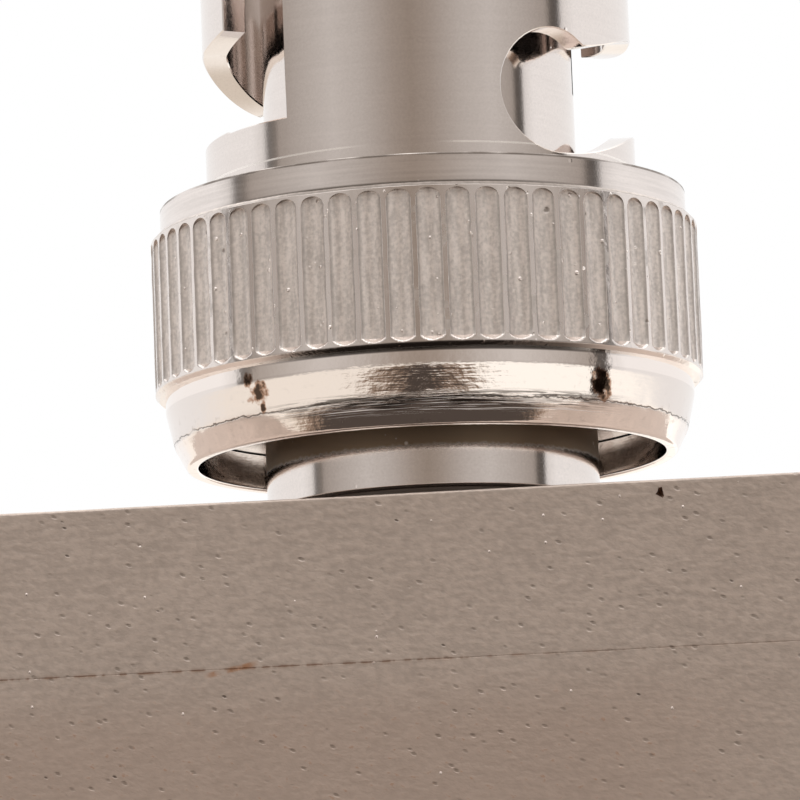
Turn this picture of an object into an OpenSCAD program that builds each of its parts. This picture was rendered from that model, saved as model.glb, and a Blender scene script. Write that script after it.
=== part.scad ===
// Coaxial Y splitter: one bayonet plug on top of a two-part block, two jacks below it.
// It stands on the mouths of its jacks, with +Z up along the plug's axis.

/* [Block] */
// Thickness of the block, front to back
block_d = 13; // [12.6:0.1:18]
// Metal from each jack's axis to the end of the block
block_side = 6.5; // [6.3:0.1:10]
// Height of the upper part, from the seam to the top face
cap_h = 4.14; // [3.6:0.02:7]
// Height of the lower part, from the bottom face to the seam
base_h = 6.86; // [6.4:0.02:12]
// Radius of the four upright corners
corner_r = 2; // [1:0.1:3.5]
// Radius of the rounded top and bottom edges
edge_r = 0.2; // [0.1:0.05:0.8]
// Depth of the cavity below the seam
cavity_h = 2.16; // [1.8:0.02:2.6]
// Half the width of the cavity in the lower part
cavity_r = 3.6; // [3:0.1:4.2]
// Wall of the rim on the upper part that locates in the cavity
rim_wall = 0.8; // [0.5:0.05:1.2]
// Height of that locating rim
rim_h = 0.5; // [0.3:0.05:0.55]
// Depth of the hollow in the upper part, above the seam
cap_hollow_h = 1.2; // [1:0.05:1.6]

/* [Jacks] */
// Distance between the axes of the two jacks
jack_pitch = 17; // [15.5:0.1:24]
// Length of a jack from the block to its mouth
jack_len = 12.5; // [11.5:0.1:18]
// Outer diameter of the guide land at the mouth
jack_od = 9.65; // [9.5:0.01:9.75]
// Inner diameter of the barrel
jack_id = 8.12; // [8.1:0.01:8.2]
// How much smaller in diameter the barrel is behind the guide land
jack_relief = 0.36; // [0.1:0.02:0.5]
// Depth of the wide bore, from the mouth
jack_bore_h = 8.4; // [8.3:0.05:8.6]
// Diameter of the seat for the insulator
jack_seat_d = 7; // [6.4:0.1:7.6]
// Bevel around the mouth
mouth_bevel = 0.15; // [0.05:0.05:0.3]
// Diameter of the collar against the block
jack_collar_d = 12; // [11:0.1:12.4]
// Height of that collar
jack_collar_h = 1.2; // [0.8:0.1:2]
// Diameter of the tail that is pressed into the block
jack_tail_d = 9.2; // [8.6:0.1:9.4]
// Diameter of a bayonet lug
lug_d = 2; // [1.91:0.01:2.06]
// Distance across the tips of the two lugs
lug_span = 11; // [10.9:0.01:11.1]
// Distance of the lugs from the mouth
lug_z = 5; // [4.8:0.05:5.3]

/* [Plug] */
// Diameter of the bare shaft between block and sleeve
shaft_d = 8.54; // [8.2:0.02:8.8]
// Diameter of the spigot that is pressed into the block
spigot_d = 7.7; // [7.2:0.05:8]
// Height of the bare neck between the block and the shaft
neck_h = 0.5; // [0.3:0.05:0.8]
// Thickness of the flange that the spring pushes on
flange_t = 0.8; // [0.6:0.05:1]
// Diameter of the hub inside the gasket
hub_d = 8.5; // [8.2:0.02:8.7]
// Outer diameter of the gasket
gasket_d = 9.4; // [9:0.05:9.5]
// Thickness of the gasket
gasket_t = 1; // [0.8:0.05:1.2]
// Outer diameter of the ferrule
ferrule_d = 8.05; // [8:0.01:8.1]
// Length of the ferrule in front of the gasket
ferrule_l = 8.2; // [8:0.05:8.5]
// Inner diameter of the ferrule
ferrule_id = 6.8; // [6.4:0.05:7.2]
// Width of the slits between the ferrule's fingers
slit_w = 0.35; // [0.25:0.05:0.5]
// Length of those slits
slit_l = 3.2; // [2:0.1:4]
// Number of fingers
fingers = 4; // [4:2:6]
// Diameter of the rear bore of the body
body_bore_d = 6; // [5.4:0.1:6.2]
// Height of the step in the bore above the sleeve's rim
bore_step_h = 1.2; // [0.8:0.1:1.8]

/* [Coupling sleeve] */
// Gap between the block and the rear rim of the sleeve
rim_gap = 1.7; // [1.2:0.05:4]
// Length of the sleeve
sleeve_l = 14.7; // [13.8:0.1:16]
// Outer diameter of the front tube
tube_d = 11.1; // [10.9:0.05:11.6]
// Inner diameter of the front tube
tube_id = 9.8; // [9.76:0.02:9.96]
// Diameter of the smooth collar
collar_d = 13.57; // [13:0.01:13.9]
// Height of the collar's front face above the rear rim
collar_top = 6.73; // [6.4:0.01:7.4]
// Diameter of the fluted grip ring
ring_d = 14.1; // [14:0.05:15]
// Height of the grip ring's front edge above the rear rim
ring_top = 5.95; // [5.6:0.01:6.2]
// Height of the grip ring's rear edge above the rear rim
ring_bottom = 1.84; // [1.7:0.01:2]
// Diameter of the band behind the grip ring
band_d = 13.6; // [13.5:0.02:13.8]
// Height at which the band starts to roll inwards
roll_top = 1.45; // [1.3:0.01:1.6]
// Height of the corner of the rolled lip
roll_bottom = 0.58; // [0.4:0.01:0.7]
// Diameter at that corner
roll_d = 13.2; // [13:0.02:13.4]
// Outer diameter of the flat rear rim
foot_d = 12.6; // [12.4:0.02:12.8]
// Diameter of the opening in the rear rim
rim_d = 12; // [11.6:0.02:12.2]
// Thickness of the rolled lip
lip_h = 0.95; // [0.85:0.01:1.1]
// Diameter of the chamber behind the lip
chamber_d = 12.8; // [12.6:0.02:12.9]
// Number of flutes around the grip ring
flutes = 60; // [40:1:63]
// Depth of a flute
flute_depth = 0.14; // [0.08:0.01:0.16]
// Radius of the cutter that makes a flute
flute_r = 0.42; // [0.3:0.01:0.45]
// Distance of the flutes' pointed lower ends from the ring's rear edge
flute_margin = 0.12; // [0.12:0.01:0.6]
// Distance of the flutes' flat upper ends from the ring's front edge
flute_stop = 0.15; // [0.12:0.01:0.6]

/* [Bayonet slots] */
// Turn of the first slot's detent from the front of the block
slot_turn = 43.8; // [0:0.1:360]
// Diameter of the detent hole
detent_d = 3.2; // [2.8:0.05:3.3]
// Metal left between the detent hole and the collar
detent_gap = 0.38; // [0.1:0.02:0.5]
// Turn from the detent to the far wall of the entry
slot_sweep = 104; // [98:1:110]
// Width of the entry, as a turn
entry_sweep = 25; // [23:1:28]
// How much deeper the entry is cut than the top of the ramp
entry_drop = 0.05; // [0.02:0.01:0.15]
// Rise of the ramp's rear edge over its length
ramp_rise = 1.2; // [0.9:0.05:1.4]
// Turn over which the rear edge rises
ramp_sweep = 58; // [40:1:64]
// Width of the ramp between its two edges
ramp_w = 2.45; // [2.2:0.05:2.6]
// Rise of the front edge towards the tip of the tooth
tooth_rise = 0.2; // [0:0.05:0.6]

/* [Spring and washer] */
// Thickness of the thrust washer
washer_t = 0.4; // [0.3:0.05:0.5]
// Distance that the sleeve can be pushed forward against the spring
sleeve_travel = 0.7; // [0.5:0.05:1]
// Thickness of the spring's strip
spring_t = 0.25; // [0.15:0.05:0.3]
// Inner diameter of the spring
spring_id = 9.6; // [9.3:0.1:10]
// Outer diameter of the spring
spring_od = 12; // [11.4:0.1:12.2]
// Number of waves
waves = 3; // [2:1:5]

/* [Contacts and insulators] */
// Diameter of the plug's pin
pin_d = 1.35; // [1.32:0.01:1.37]
// Length of the pin in front of its insulator
pin_l = 4.4; // [4:0.05:5]
// Diameter of the contacts inside their insulators
contact_d = 2.1; // [1.9:0.05:2.3]
// Diameter of the contacts' tails in the bar
tail_d = 1.2; // [0.9:0.05:1.3]
// Length of a tail beyond the bar
tail_l = 0.6; // [0.3:0.05:0.8]
// Diameter of the socket in a jack's contact
socket_d = 1.4; // [1.38:0.01:1.5]
// Depth of that socket
socket_h = 5.5; // [4.5:0.1:6.5]
// Width of the slits in a jack's contact
socket_slit_w = 0.25; // [0.15:0.05:0.35]
// Length of those slits
socket_slit_l = 4; // [3:0.1:4.4]
// Distance of a jack's contact from the mouth
contact_recess = 3.7; // [3.5:0.05:4]
// Diameter of the nose of a jack's insulator
nose_d = 4.75; // [4.6:0.05:4.85]
// Distance of that nose from the mouth
nose_recess = 3.4; // [3:0.05:3.45]
// Distance of the plug insulator's inner face from the gasket
plug_face = 3.2; // [3:0.05:3.4]
// Inner diameter of the plug insulator's front tube
plug_tube_id = 4.95; // [4.9:0.05:5.1]
// Length of that tube
plug_tube_l = 4.2; // [3.5:0.1:4.4]
// Width of the bar that joins the contacts
bar_w = 2.6; // [2.3:0.1:3]
// Thickness of that bar
bar_t = 0.6; // [0.4:0.05:0.8]
// Height of the bar above the cavity's floor
bar_z = 1.4; // [1.2:0.05:1.6]

/* [Fits] */
// Radial gap of a running fit
run_gap = 0.08; // [0.04:0.01:0.1]
// Radial gap of a pressed or seated fit
seat_gap = 0.02; // [0.01:0.01:0.05]
// Gap between flat faces that move on each other
face_gap = 0.03; // [0.02:0.01:0.06]

/* [Hidden] */

$fn = 96;
cut = 0.5;

// Heights of the block
z_block = jack_len;
z_seam = z_block + base_h;
z_top = z_seam + cap_h;
z_floor = z_seam - cavity_h;
z_hollow = z_seam + cap_hollow_h;
block_w = jack_pitch + 2 * block_side;

// Heights of the bar that joins the contacts
z_bar = z_floor + bar_z;
z_bar_top = z_bar + bar_t;

// Heights of the sleeve and of what it holds
z_rim = z_top + rim_gap;
z_washer = z_rim + lip_h + face_gap;
z_spring = z_washer + washer_t;
spring_h = sleeve_travel + 2 * spring_t;
z_flange = z_spring + spring_h;
z_flange_top = z_flange + flange_t;
z_shoulder = z_flange_top + face_gap;
z_gasket_top = z_flange_top + gasket_t;
z_ferrule_tip = z_gasket_top + ferrule_l;
z_step = z_rim + bore_step_h;
z_plug_face = z_gasket_top + plug_face;
z_pin_tip = z_plug_face + pin_l;
z_collar = z_rim + collar_top;

flange_d = chamber_d - 2 * run_gap;
detent_h = detent_gap + detent_d / 2;
nickel = [0.74, 0.71, 0.68];
cast_nickel = [0.6, 0.55, 0.5];
gold = [0.83, 0.66, 0.32];
white_plastic = [0.93, 0.92, 0.88];
soft_grey = [0.35, 0.34, 0.33];

// Solid of revolution about Z from a closed outline of radius and height
module turned(outline) {
    rotate_extrude() polygon(outline);
}

// Round bar along Z from one height to another
module rod(d, z0, z1) {
    translate([0, 0, z0]) cylinder(d = d, h = z1 - z0);
}

// Flat ring along Z from one height to another
module ring(d_in, d_out, z0, z1) {
    turned([[d_in / 2, z0], [d_out / 2, z0], [d_out / 2, z1], [d_in / 2, z1]]);
}

// Outline with two round ends, centred on the two jacks' axes
module stadium(r) {
    square([jack_pitch, 2 * r], center = true);
    for (side = [-1, 1]) translate([side * jack_pitch / 2, 0]) circle(r);
}

module stadium_block(r, z0, z1) {
    translate([0, 0, z0]) linear_extrude(z1 - z0) stadium(r);
}

// Upright section of the block, as wide as given, with its lower or upper edges rounded
module slab_section(w, z0, z1, round_low, round_high) {
    low = round_low ? edge_r : 0;
    high = round_high ? edge_r : 0;
    translate([-w / 2, z0 + low]) square([w, z1 - z0 - low - high]);
    translate([edge_r - w / 2, z0]) square([w - 2 * edge_r, z1 - z0]);
    for (x = [edge_r - w / 2, w / 2 - edge_r]) {
        if (round_low) translate([x, z0 + edge_r]) circle(edge_r);
        if (round_high) translate([x, z1 - edge_r]) circle(edge_r);
    }
}

// Block with round upright corners and one face with rounded edges
module rounded_block(z0, z1, round_low, round_high) {
    for (x = [-1, 1], y = [-1, 1])
        translate([x * (block_w / 2 - corner_r), y * (block_d / 2 - corner_r), 0])
            rotate_extrude() intersection() {
                slab_section(2 * corner_r, z0, z1, round_low, round_high);
                translate([0, z0]) square([corner_r, z1 - z0]);
            }
    rotate([90, 0, 90])
        linear_extrude(block_w - 2 * corner_r, center = true)
            slab_section(block_d, z0, z1, round_low, round_high);
    rotate([90, 0, 0])
        linear_extrude(block_d - 2 * corner_r, center = true)
            slab_section(block_w, z0, z1, round_low, round_high);
}

// Places a shape on the axis of the left or the right jack
module at_jack(side) {
    translate([side * jack_pitch / 2, 0, 0]) children();
}

module block_base() {
    color(cast_nickel) difference() {
        rounded_block(z_block, z_seam, true, false);
        stadium_block(cavity_r, z_floor, z_seam + cut);
        for (side = [-1, 1])
            at_jack(side) rod(jack_tail_d + 2 * seat_gap, z_block - cut, z_floor);
    }
}

module block_cap() {
    rim_r = cavity_r - seat_gap;
    color(cast_nickel) difference() {
        union() {
            rounded_block(z_seam, z_top, false, true);
            stadium_block(rim_r, z_seam - rim_h, z_seam + cut);
        }
        stadium_block(rim_r - rim_wall, z_seam - rim_h - cut, z_hollow);
        rod(spigot_d + 2 * seat_gap, z_hollow, z_top + cut);
    }
}

module bridge_bar() {
    hole_d = tail_d + 2 * seat_gap;
    color(gold) difference() {
        stadium_block(bar_w / 2, z_bar, z_bar_top);
        for (x = [-1, 0, 1]) at_jack(x) rod(hole_d, z_bar - cut, z_bar_top + cut);
    }
}

// Body with spigot, shaft, flange, hub and slit ferrule, bored through
module plug_body() {
    tip_bevel = 0.2;
    ferrule_r = ferrule_d / 2;
    color(nickel) difference() {
        turned([
            [body_bore_d / 2, z_hollow], [spigot_d / 2, z_hollow],
            [spigot_d / 2, z_top + neck_h], [shaft_d / 2, z_top + neck_h],
            [shaft_d / 2, z_flange], [flange_d / 2, z_flange],
            [flange_d / 2, z_flange_top], [hub_d / 2, z_flange_top],
            [hub_d / 2, z_gasket_top], [ferrule_r, z_gasket_top],
            [ferrule_r, z_ferrule_tip - tip_bevel], [ferrule_r - tip_bevel, z_ferrule_tip],
            [ferrule_id / 2, z_ferrule_tip], [ferrule_id / 2, z_step], [body_bore_d / 2, z_step]
        ]);
        for (i = [0 : fingers - 1])
            rotate([0, 0, i * 360 / fingers])
                translate([ferrule_id / 2 - cut, -slit_w / 2, z_ferrule_tip - slit_l])
                    cube([ferrule_r, slit_w, slit_l + cut]);
    }
}

module plug_gasket() {
    color(soft_grey) ring(hub_d + 2 * seat_gap, gasket_d, z_flange_top, z_gasket_top);
}

module plug_insulator() {
    front_r = ferrule_id / 2 - seat_gap;
    rear_r = body_bore_d / 2 - seat_gap;
    bore_r = contact_d / 2 + seat_gap;
    color(white_plastic) turned([
        [bore_r, z_hollow], [rear_r, z_hollow], [rear_r, z_step], [front_r, z_step],
        [front_r, z_plug_face + plug_tube_l], [plug_tube_id / 2, z_plug_face + plug_tube_l],
        [plug_tube_id / 2, z_plug_face], [bore_r, z_plug_face]
    ]);
}

// Pin with a round tip, a thicker shank in the insulator and a tail through the bar
module plug_pin() {
    color(gold) {
        translate([0, 0, z_pin_tip - pin_d / 2]) sphere(d = pin_d);
        rod(pin_d, z_plug_face - cut, z_pin_tip - pin_d / 2);
        rod(contact_d, z_bar_top, z_plug_face - seat_gap);
        rod(tail_d, z_bar - tail_l, z_bar_top + cut);
    }
}

// Closed strip that waves around the shaft, from one face of its room to the other
function wave_point(turn, d, top) =
    let (swing = (spring_h - 2 * face_gap - spring_t) / 2)
    let (middle = z_spring + spring_h / 2)
    let (z = middle + swing * cos(waves * turn) + (top ? 1 : -1) * spring_t / 2)
    [d / 2 * cos(turn), d / 2 * sin(turn), z];

module wave_spring() {
    steps = 72;
    section = [[spring_id, false], [spring_od, false], [spring_od, true], [spring_id, true]];
    points = [
        for (i = [0 : steps - 1], s = section) wave_point(i * 360 / steps, s[0], s[1])
    ];
    faces = [
        for (i = [0 : steps - 1], k = [0 : 3])
            let (a = 4 * i, b = 4 * ((i + 1) % steps), n = (k + 1) % 4)
            each [[a + k, b + n, b + k], [a + k, a + n, b + n]]
    ];
    color(nickel) polyhedron(points, faces);
}

module thrust_washer() {
    color(nickel)
        ring(shaft_d + 2 * run_gap, chamber_d - 2 * run_gap, z_washer, z_washer + washer_t);
}

// Height of the slot's rear edge above the collar, at a turn from the detent
function rear_edge(turn) =
    let (share = min(turn / ramp_sweep, 1))
    detent_gap + ramp_rise * (1 - cos(180 * share)) / 2;

// Height of the slot's front edge: it widens into the detent and rises to the tooth's tip
function front_edge(turn) =
    let (to_detent = max(1 - turn / ramp_sweep, 0))
    let (to_tip = max((turn - ramp_sweep) / (slot_sweep - entry_sweep - ramp_sweep), 0))
    rear_edge(turn) + ramp_w + to_detent * (detent_d - ramp_w) / 2 + tooth_rise * to_tip ^ 2;

// Ramp from the detent to the middle of the entry, as a strip that follows the tube's wall
module slot_ramp() {
    steps = 24;
    sweep = slot_sweep - entry_sweep / 2;
    r_in = tube_id / 2 - cut;
    r_out = tube_d / 2 + cut;
    function corner(turn, r, h) = [r * sin(turn), -r * cos(turn), z_collar + h];
    points = [
        for (i = [0 : steps])
            let (turn = i * sweep / steps)
            each [
                corner(turn, r_in, rear_edge(turn)), corner(turn, r_out, rear_edge(turn)),
                corner(turn, r_out, front_edge(turn)), corner(turn, r_in, front_edge(turn))
            ]
    ];
    sides = [
        for (i = [0 : steps - 1], k = [0 : 3])
            let (a = 4 * i, b = 4 * (i + 1), n = (k + 1) % 4)
            each [[a + k, b + n, b + k], [a + k, a + n, b + n]]
    ];
    last = 4 * steps;
    ends = [[3, 2, 1, 0], [last, last + 1, last + 2, last + 3]];
    polyhedron(points, concat(sides, ends));
}

// Entry of a slot, open at the front of the sleeve
module slot_entry() {
    start = slot_sweep - entry_sweep;
    z_low = z_collar + rear_edge(slot_sweep) - entry_drop;
    rotate([0, 0, start - 90])
        rotate_extrude(angle = entry_sweep)
            translate([tube_id / 2 - cut, z_low])
                square([(tube_d - tube_id) / 2 + 2 * cut, sleeve_l]);
}

module bayonet_slot() {
    rotate([90, 0, 0])
        translate([0, z_collar + detent_h, 0])
            cylinder(d = detent_d, h = tube_d);
    slot_ramp();
    slot_entry();
}

// Flutes of the grip ring, flat at their upper and pointed at their lower ends
module grip_flutes() {
    r_axis = ring_d / 2 - flute_depth + flute_r;
    z0 = z_rim + ring_bottom + flute_margin + flute_depth;
    z1 = z_rim + ring_top - flute_stop;
    for (i = [0 : flutes - 1])
        rotate([0, 0, i * 360 / flutes])
            translate([r_axis, 0, 0]) {
                rod(2 * flute_r, z0, z1);
                translate([0, 0, z0 - flute_r]) cylinder(r1 = 0, r2 = flute_r, h = flute_r);
            }
}

module coupling_sleeve() {
    ring_bevel = 0.1;
    color(nickel) difference() {
        turned([
            [rim_d / 2, z_rim], [foot_d / 2, z_rim], [roll_d / 2, z_rim + roll_bottom],
            [band_d / 2, z_rim + roll_top], [band_d / 2, z_rim + ring_bottom],
            [ring_d / 2 - ring_bevel, z_rim + ring_bottom],
            [ring_d / 2, z_rim + ring_bottom + ring_bevel],
            [ring_d / 2, z_rim + ring_top - ring_bevel],
            [ring_d / 2 - ring_bevel, z_rim + ring_top],
            [collar_d / 2, z_rim + ring_top], [collar_d / 2, z_collar],
            [tube_d / 2, z_collar], [tube_d / 2, z_rim + sleeve_l],
            [tube_id / 2, z_rim + sleeve_l], [tube_id / 2, z_shoulder],
            [chamber_d / 2, z_shoulder], [chamber_d / 2, z_rim + lip_h],
            [rim_d / 2, z_rim + lip_h]
        ]);
        for (turn = [0, 180]) rotate([0, 0, slot_turn + turn]) bayonet_slot();
        grip_flutes();
    }
}

// Shell with guide land, relieved barrel, collar, tail and two lugs
module jack_shell(side) {
    land_r = jack_od / 2;
    barrel_r = (jack_od - jack_relief) / 2;
    land_h = lug_z - lug_d / 2;
    z_collar_low = z_block - jack_collar_h;
    lug_root = (jack_id / 2 + barrel_r) / 2;
    color(nickel) at_jack(side) {
        turned([
            [jack_id / 2 + mouth_bevel, 0], [land_r - mouth_bevel, 0], [land_r, mouth_bevel],
            [land_r, land_h], [barrel_r, land_h], [barrel_r, z_collar_low],
            [jack_collar_d / 2, z_collar_low], [jack_collar_d / 2, z_block],
            [jack_tail_d / 2, z_block], [jack_tail_d / 2, z_floor],
            [jack_seat_d / 2, z_floor], [jack_seat_d / 2, jack_bore_h],
            [jack_id / 2, jack_bore_h], [jack_id / 2, mouth_bevel]
        ]);
        for (turn = [0, 180])
            rotate([90, 0, turn])
                translate([0, lug_z, lug_root])
                    cylinder(d = lug_d, h = lug_span / 2 - lug_root);
    }
}

module jack_insulator(side) {
    bore_r = contact_d / 2 + seat_gap;
    base_r = jack_seat_d / 2 - seat_gap;
    color(white_plastic) at_jack(side) turned([
        [bore_r, nose_recess], [nose_d / 2, nose_recess], [nose_d / 2, jack_bore_h],
        [base_r, jack_bore_h], [base_r, z_floor], [bore_r, z_floor]
    ]);
}

// Socket with crossed slits at its mouth and a tail through the bar
module jack_contact(side) {
    color(gold) at_jack(side) difference() {
        union() {
            rod(contact_d, contact_recess, z_bar);
            rod(tail_d, z_bar - cut, z_bar_top + tail_l);
        }
        rod(socket_d, contact_recess - cut, contact_recess + socket_h);
        for (turn = [0, 90])
            rotate([0, 0, turn])
                translate([-contact_d, -socket_slit_w / 2, contact_recess - cut])
                    cube([2 * contact_d, socket_slit_w, socket_slit_l + cut]);
    }
}

module jack_shell_left() { jack_shell(-1); }
module jack_shell_right() { jack_shell(1); }
module jack_insulator_left() { jack_insulator(-1); }
module jack_insulator_right() { jack_insulator(1); }
module jack_contact_left() { jack_contact(-1); }
module jack_contact_right() { jack_contact(1); }

block_base();
block_cap();
bridge_bar();
plug_body();
plug_gasket();
plug_insulator();
plug_pin();
wave_spring();
thrust_washer();
coupling_sleeve();
jack_shell_left();
jack_shell_right();
jack_insulator_left();
jack_insulator_right();
jack_contact_left();
jack_contact_right();
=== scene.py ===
import math

import bmesh
import bpy
import numpy as np
from bpy.props import FloatProperty, FloatVectorProperty, IntProperty, PointerProperty
from mathutils import Matrix, Vector, noise


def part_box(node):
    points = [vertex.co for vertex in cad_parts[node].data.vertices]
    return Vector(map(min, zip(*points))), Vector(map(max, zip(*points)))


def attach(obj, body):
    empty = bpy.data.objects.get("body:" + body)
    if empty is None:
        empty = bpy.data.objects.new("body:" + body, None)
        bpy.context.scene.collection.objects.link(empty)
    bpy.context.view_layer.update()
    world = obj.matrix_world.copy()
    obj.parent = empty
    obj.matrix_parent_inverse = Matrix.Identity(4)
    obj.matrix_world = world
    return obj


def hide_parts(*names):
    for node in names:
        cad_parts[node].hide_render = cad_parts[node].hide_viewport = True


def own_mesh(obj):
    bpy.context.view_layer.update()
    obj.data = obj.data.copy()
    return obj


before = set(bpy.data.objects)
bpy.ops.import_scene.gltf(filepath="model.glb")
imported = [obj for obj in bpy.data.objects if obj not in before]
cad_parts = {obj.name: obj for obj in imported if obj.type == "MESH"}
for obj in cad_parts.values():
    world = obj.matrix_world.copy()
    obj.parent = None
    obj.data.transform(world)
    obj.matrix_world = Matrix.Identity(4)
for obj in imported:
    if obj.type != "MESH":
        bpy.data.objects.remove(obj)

bl_info = {
    "name": "Coaxial Y splitter",
    "version": (1, 0, 0),
    "blender": (4, 5, 0),
    "location": "View3D > Sidebar > Splitter",
    "description": "Dresses a coaxial Y splitter in turned, fluted and cast nickel",
    "category": "Object",
}

MM = 0.001
FULL_TURN = 2 * math.pi

# How far a cutter reaches past the metal, and how far a hole's cutter passes the face that it opens
CLEAR = MM
OVERCUT = 0.02 * MM
# Rounding of the edges of turned plug pieces, of the jacks, of moulded pieces and of the gasket
TURNED_EASE = 0.03 * MM
JACK_EASE = 0.05 * MM
MOULDED_EASE = 0.06 * MM
SOFT_EASE = 0.12 * MM
# Repeats in a metre of the noise by which the flutes' edges wander
WANDER_SCALE = 1300.0
# Distance from the grip ring's bevel inwards over which that wander fades
WANDER_FADE = 0.05 * MM

# The solids give the places and the outer sizes of the pieces.
BASE_LOW, BASE_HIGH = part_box("block_base")
CAP_LOW, CAP_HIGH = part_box("block_cap")
BODY_LOW, BODY_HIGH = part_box("plug_body")
GASKET_LOW, GASKET_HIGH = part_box("plug_gasket")
INSULATOR_LOW, INSULATOR_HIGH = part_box("plug_insulator")
PIN_LOW, PIN_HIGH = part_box("plug_pin")
BAR_LOW, BAR_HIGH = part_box("bridge_bar")
SPRING_LOW, SPRING_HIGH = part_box("wave_spring")
WASHER_LOW, WASHER_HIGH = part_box("thrust_washer")
SLEEVE_LOW, SLEEVE_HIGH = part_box("coupling_sleeve")
JACK_LOW, JACK_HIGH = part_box("jack_shell_right")
JACK_INSULATOR_LOW, JACK_INSULATOR_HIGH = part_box("jack_insulator_right")
CONTACT_LOW, CONTACT_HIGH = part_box("jack_contact_right")
JACK_X = (JACK_LOW.x + JACK_HIGH.x) / 2
SEAM_Z = BASE_HIGH.z
BLOCK_TOP = CAP_HIGH.z
RIM_Z = SLEEVE_LOW.z
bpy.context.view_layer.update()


# Settings that a user would change

def length(name, description, millimetres):
    """A size property, written in millimetres and kept in metres."""
    return FloatProperty(
        name=name, description=description, default=millimetres * MM, unit="LENGTH", precision=6
    )


def turn(name, description, degrees):
    """An angle property, written in degrees and kept in radians."""
    return FloatProperty(
        name=name, description=description, default=math.radians(degrees), subtype="ANGLE"
    )


def colour(name, description, rgb):
    """A colour property, in linear values."""
    return FloatVectorProperty(
        name=name, description=description, default=rgb, size=3, subtype="COLOR", min=0.0, max=1.0
    )


class SplitterBlock(bpy.types.PropertyGroup):
    """Sizes of the two-part block."""

    corner_r: length("Corner radius", "Radius of the four upright corners", 2.0)
    edge_r: length("Edge radius", "Radius of the top and bottom edges", 0.07)
    seam_bevel: length("Seam bevel", "Bevel of both parts along the seam", 0.005)
    wave: length("Wave", "Height of the slow waves in the cast faces", 0.012)
    wave_l: length("Wave length", "Length of those waves", 3.2)
    cavity_r: length("Cavity radius", "Half the width of the cavity", 3.6)
    cavity_floor: length("Cavity floor", "Depth of the cavity below the seam", 2.16)
    rim_wall: length("Rim wall", "Wall of the rim that locates in the cavity", 0.8)
    rim_gap: length("Rim gap", "Gap between that rim and the cavity", 0.02)
    hollow_h: length("Hollow height", "Depth of the hollow above the seam", 1.2)
    spigot_hole_r: length("Spigot hole radius", "Hole for the plug's spigot", 3.87)
    jack_hole_r: length("Jack hole radius", "Hole for a jack's tail", 4.62)
    chip_size: length("Chip size", "Height of the chip under the top edge", 0.37)
    chip_x: length("Chip place", "Place of the chip along the front face", 6.1)
    chip_drop: length("Chip depth below edge", "Distance of the chip from the top face", 0.33)


class SplitterSleeve(bpy.types.PropertyGroup):
    """Sizes of the coupling sleeve, heights above its rear rim."""

    tube_r: length("Tube radius", "Outer radius of the front tube", 5.55)
    bore_r: length("Bore radius", "Inner radius of the front tube", 4.9)
    collar_r: length("Collar radius", "Radius of the smooth collar", 6.785)
    collar_top: length("Collar top", "Height of the collar's front face", 6.73)
    ring_top: length("Ring top", "Height of the grip ring's front edge", 5.95)
    ring_bottom: length("Ring bottom", "Height of the grip ring's rear edge", 1.84)
    ring_bevel: length("Ring bevel", "Bevel of the grip ring's edges", 0.1)
    band_r: length("Band radius", "Radius of the band behind the grip ring", 6.8)
    roll_top: length("Roll top", "Height at which the band rolls inwards", 1.45)
    roll_bottom: length("Roll bottom", "Height of the lip's corner", 0.58)
    roll_r: length("Roll radius", "Radius at the lip's corner", 6.6)
    foot_r: length("Foot radius", "Outer radius of the flat rear rim", 6.3)
    rim_r: length("Rim radius", "Radius of the opening in the rear rim", 6.0)
    lip_h: length("Lip height", "Thickness of the rolled lip", 0.95)
    chamber_r: length("Chamber radius", "Radius of the chamber behind the lip", 6.4)
    shoulder: length("Shoulder", "Height of the shoulder that meets the flange", 3.41)
    fillet: length("Fillet", "Fillet where the tube leaves the collar", 0.12)
    ease: length("Edge ease", "Rounding of the turned edges", 0.03)
    lip_ease: length("Lip ease", "Rounding of the rolled lip's edges", 0.1)
    flutes: IntProperty(name="Flutes", description="Number of flutes", default=60, min=12, max=90)
    flute_depth: length("Flute depth", "Depth of a flute", 0.14)
    flute_r: length("Flute cutter", "Radius of the round cutter of a flute", 0.42)
    flute_margin: length("Flute margin", "From the ring's rear edge to the flutes' lower ends", 0.12)
    flute_stop: length("Flute stop", "From the flutes' upper ends to the ring's front edge", 0.15)
    flute_arch: length("Flute arch", "Rise of the arch at a flute's upper end", 0.25)
    flute_wander: length("Flute wander", "How far the flutes' edges wander", 0.034)
    slot_turn: turn("Slot turn", "Turn of the first detent from the front", 43.8)
    detent_r: length("Detent radius", "Radius of the detent hole", 1.6)
    detent_gap: length("Detent gap", "Metal between detent and collar", 0.38)
    slot_sweep: turn("Slot sweep", "Turn from the detent to the entry's far wall", 104)
    entry_sweep: turn("Entry sweep", "Width of the entry", 25)
    entry_drop: length("Entry drop", "Extra depth of the entry", 0.05)
    ramp_rise: length("Ramp rise", "Rise of the ramp's rear edge", 1.2)
    ramp_sweep: turn("Ramp sweep", "Turn over which the rear edge rises", 58)
    ramp_w: length("Ramp width", "Width of the ramp", 2.45)
    tooth_rise: length("Tooth rise", "Rise of the front edge to the tooth's tip", 0.2)
    scuff: length("Scuff", "Depth of the dents on the lip's corner", 0.03)


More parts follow.
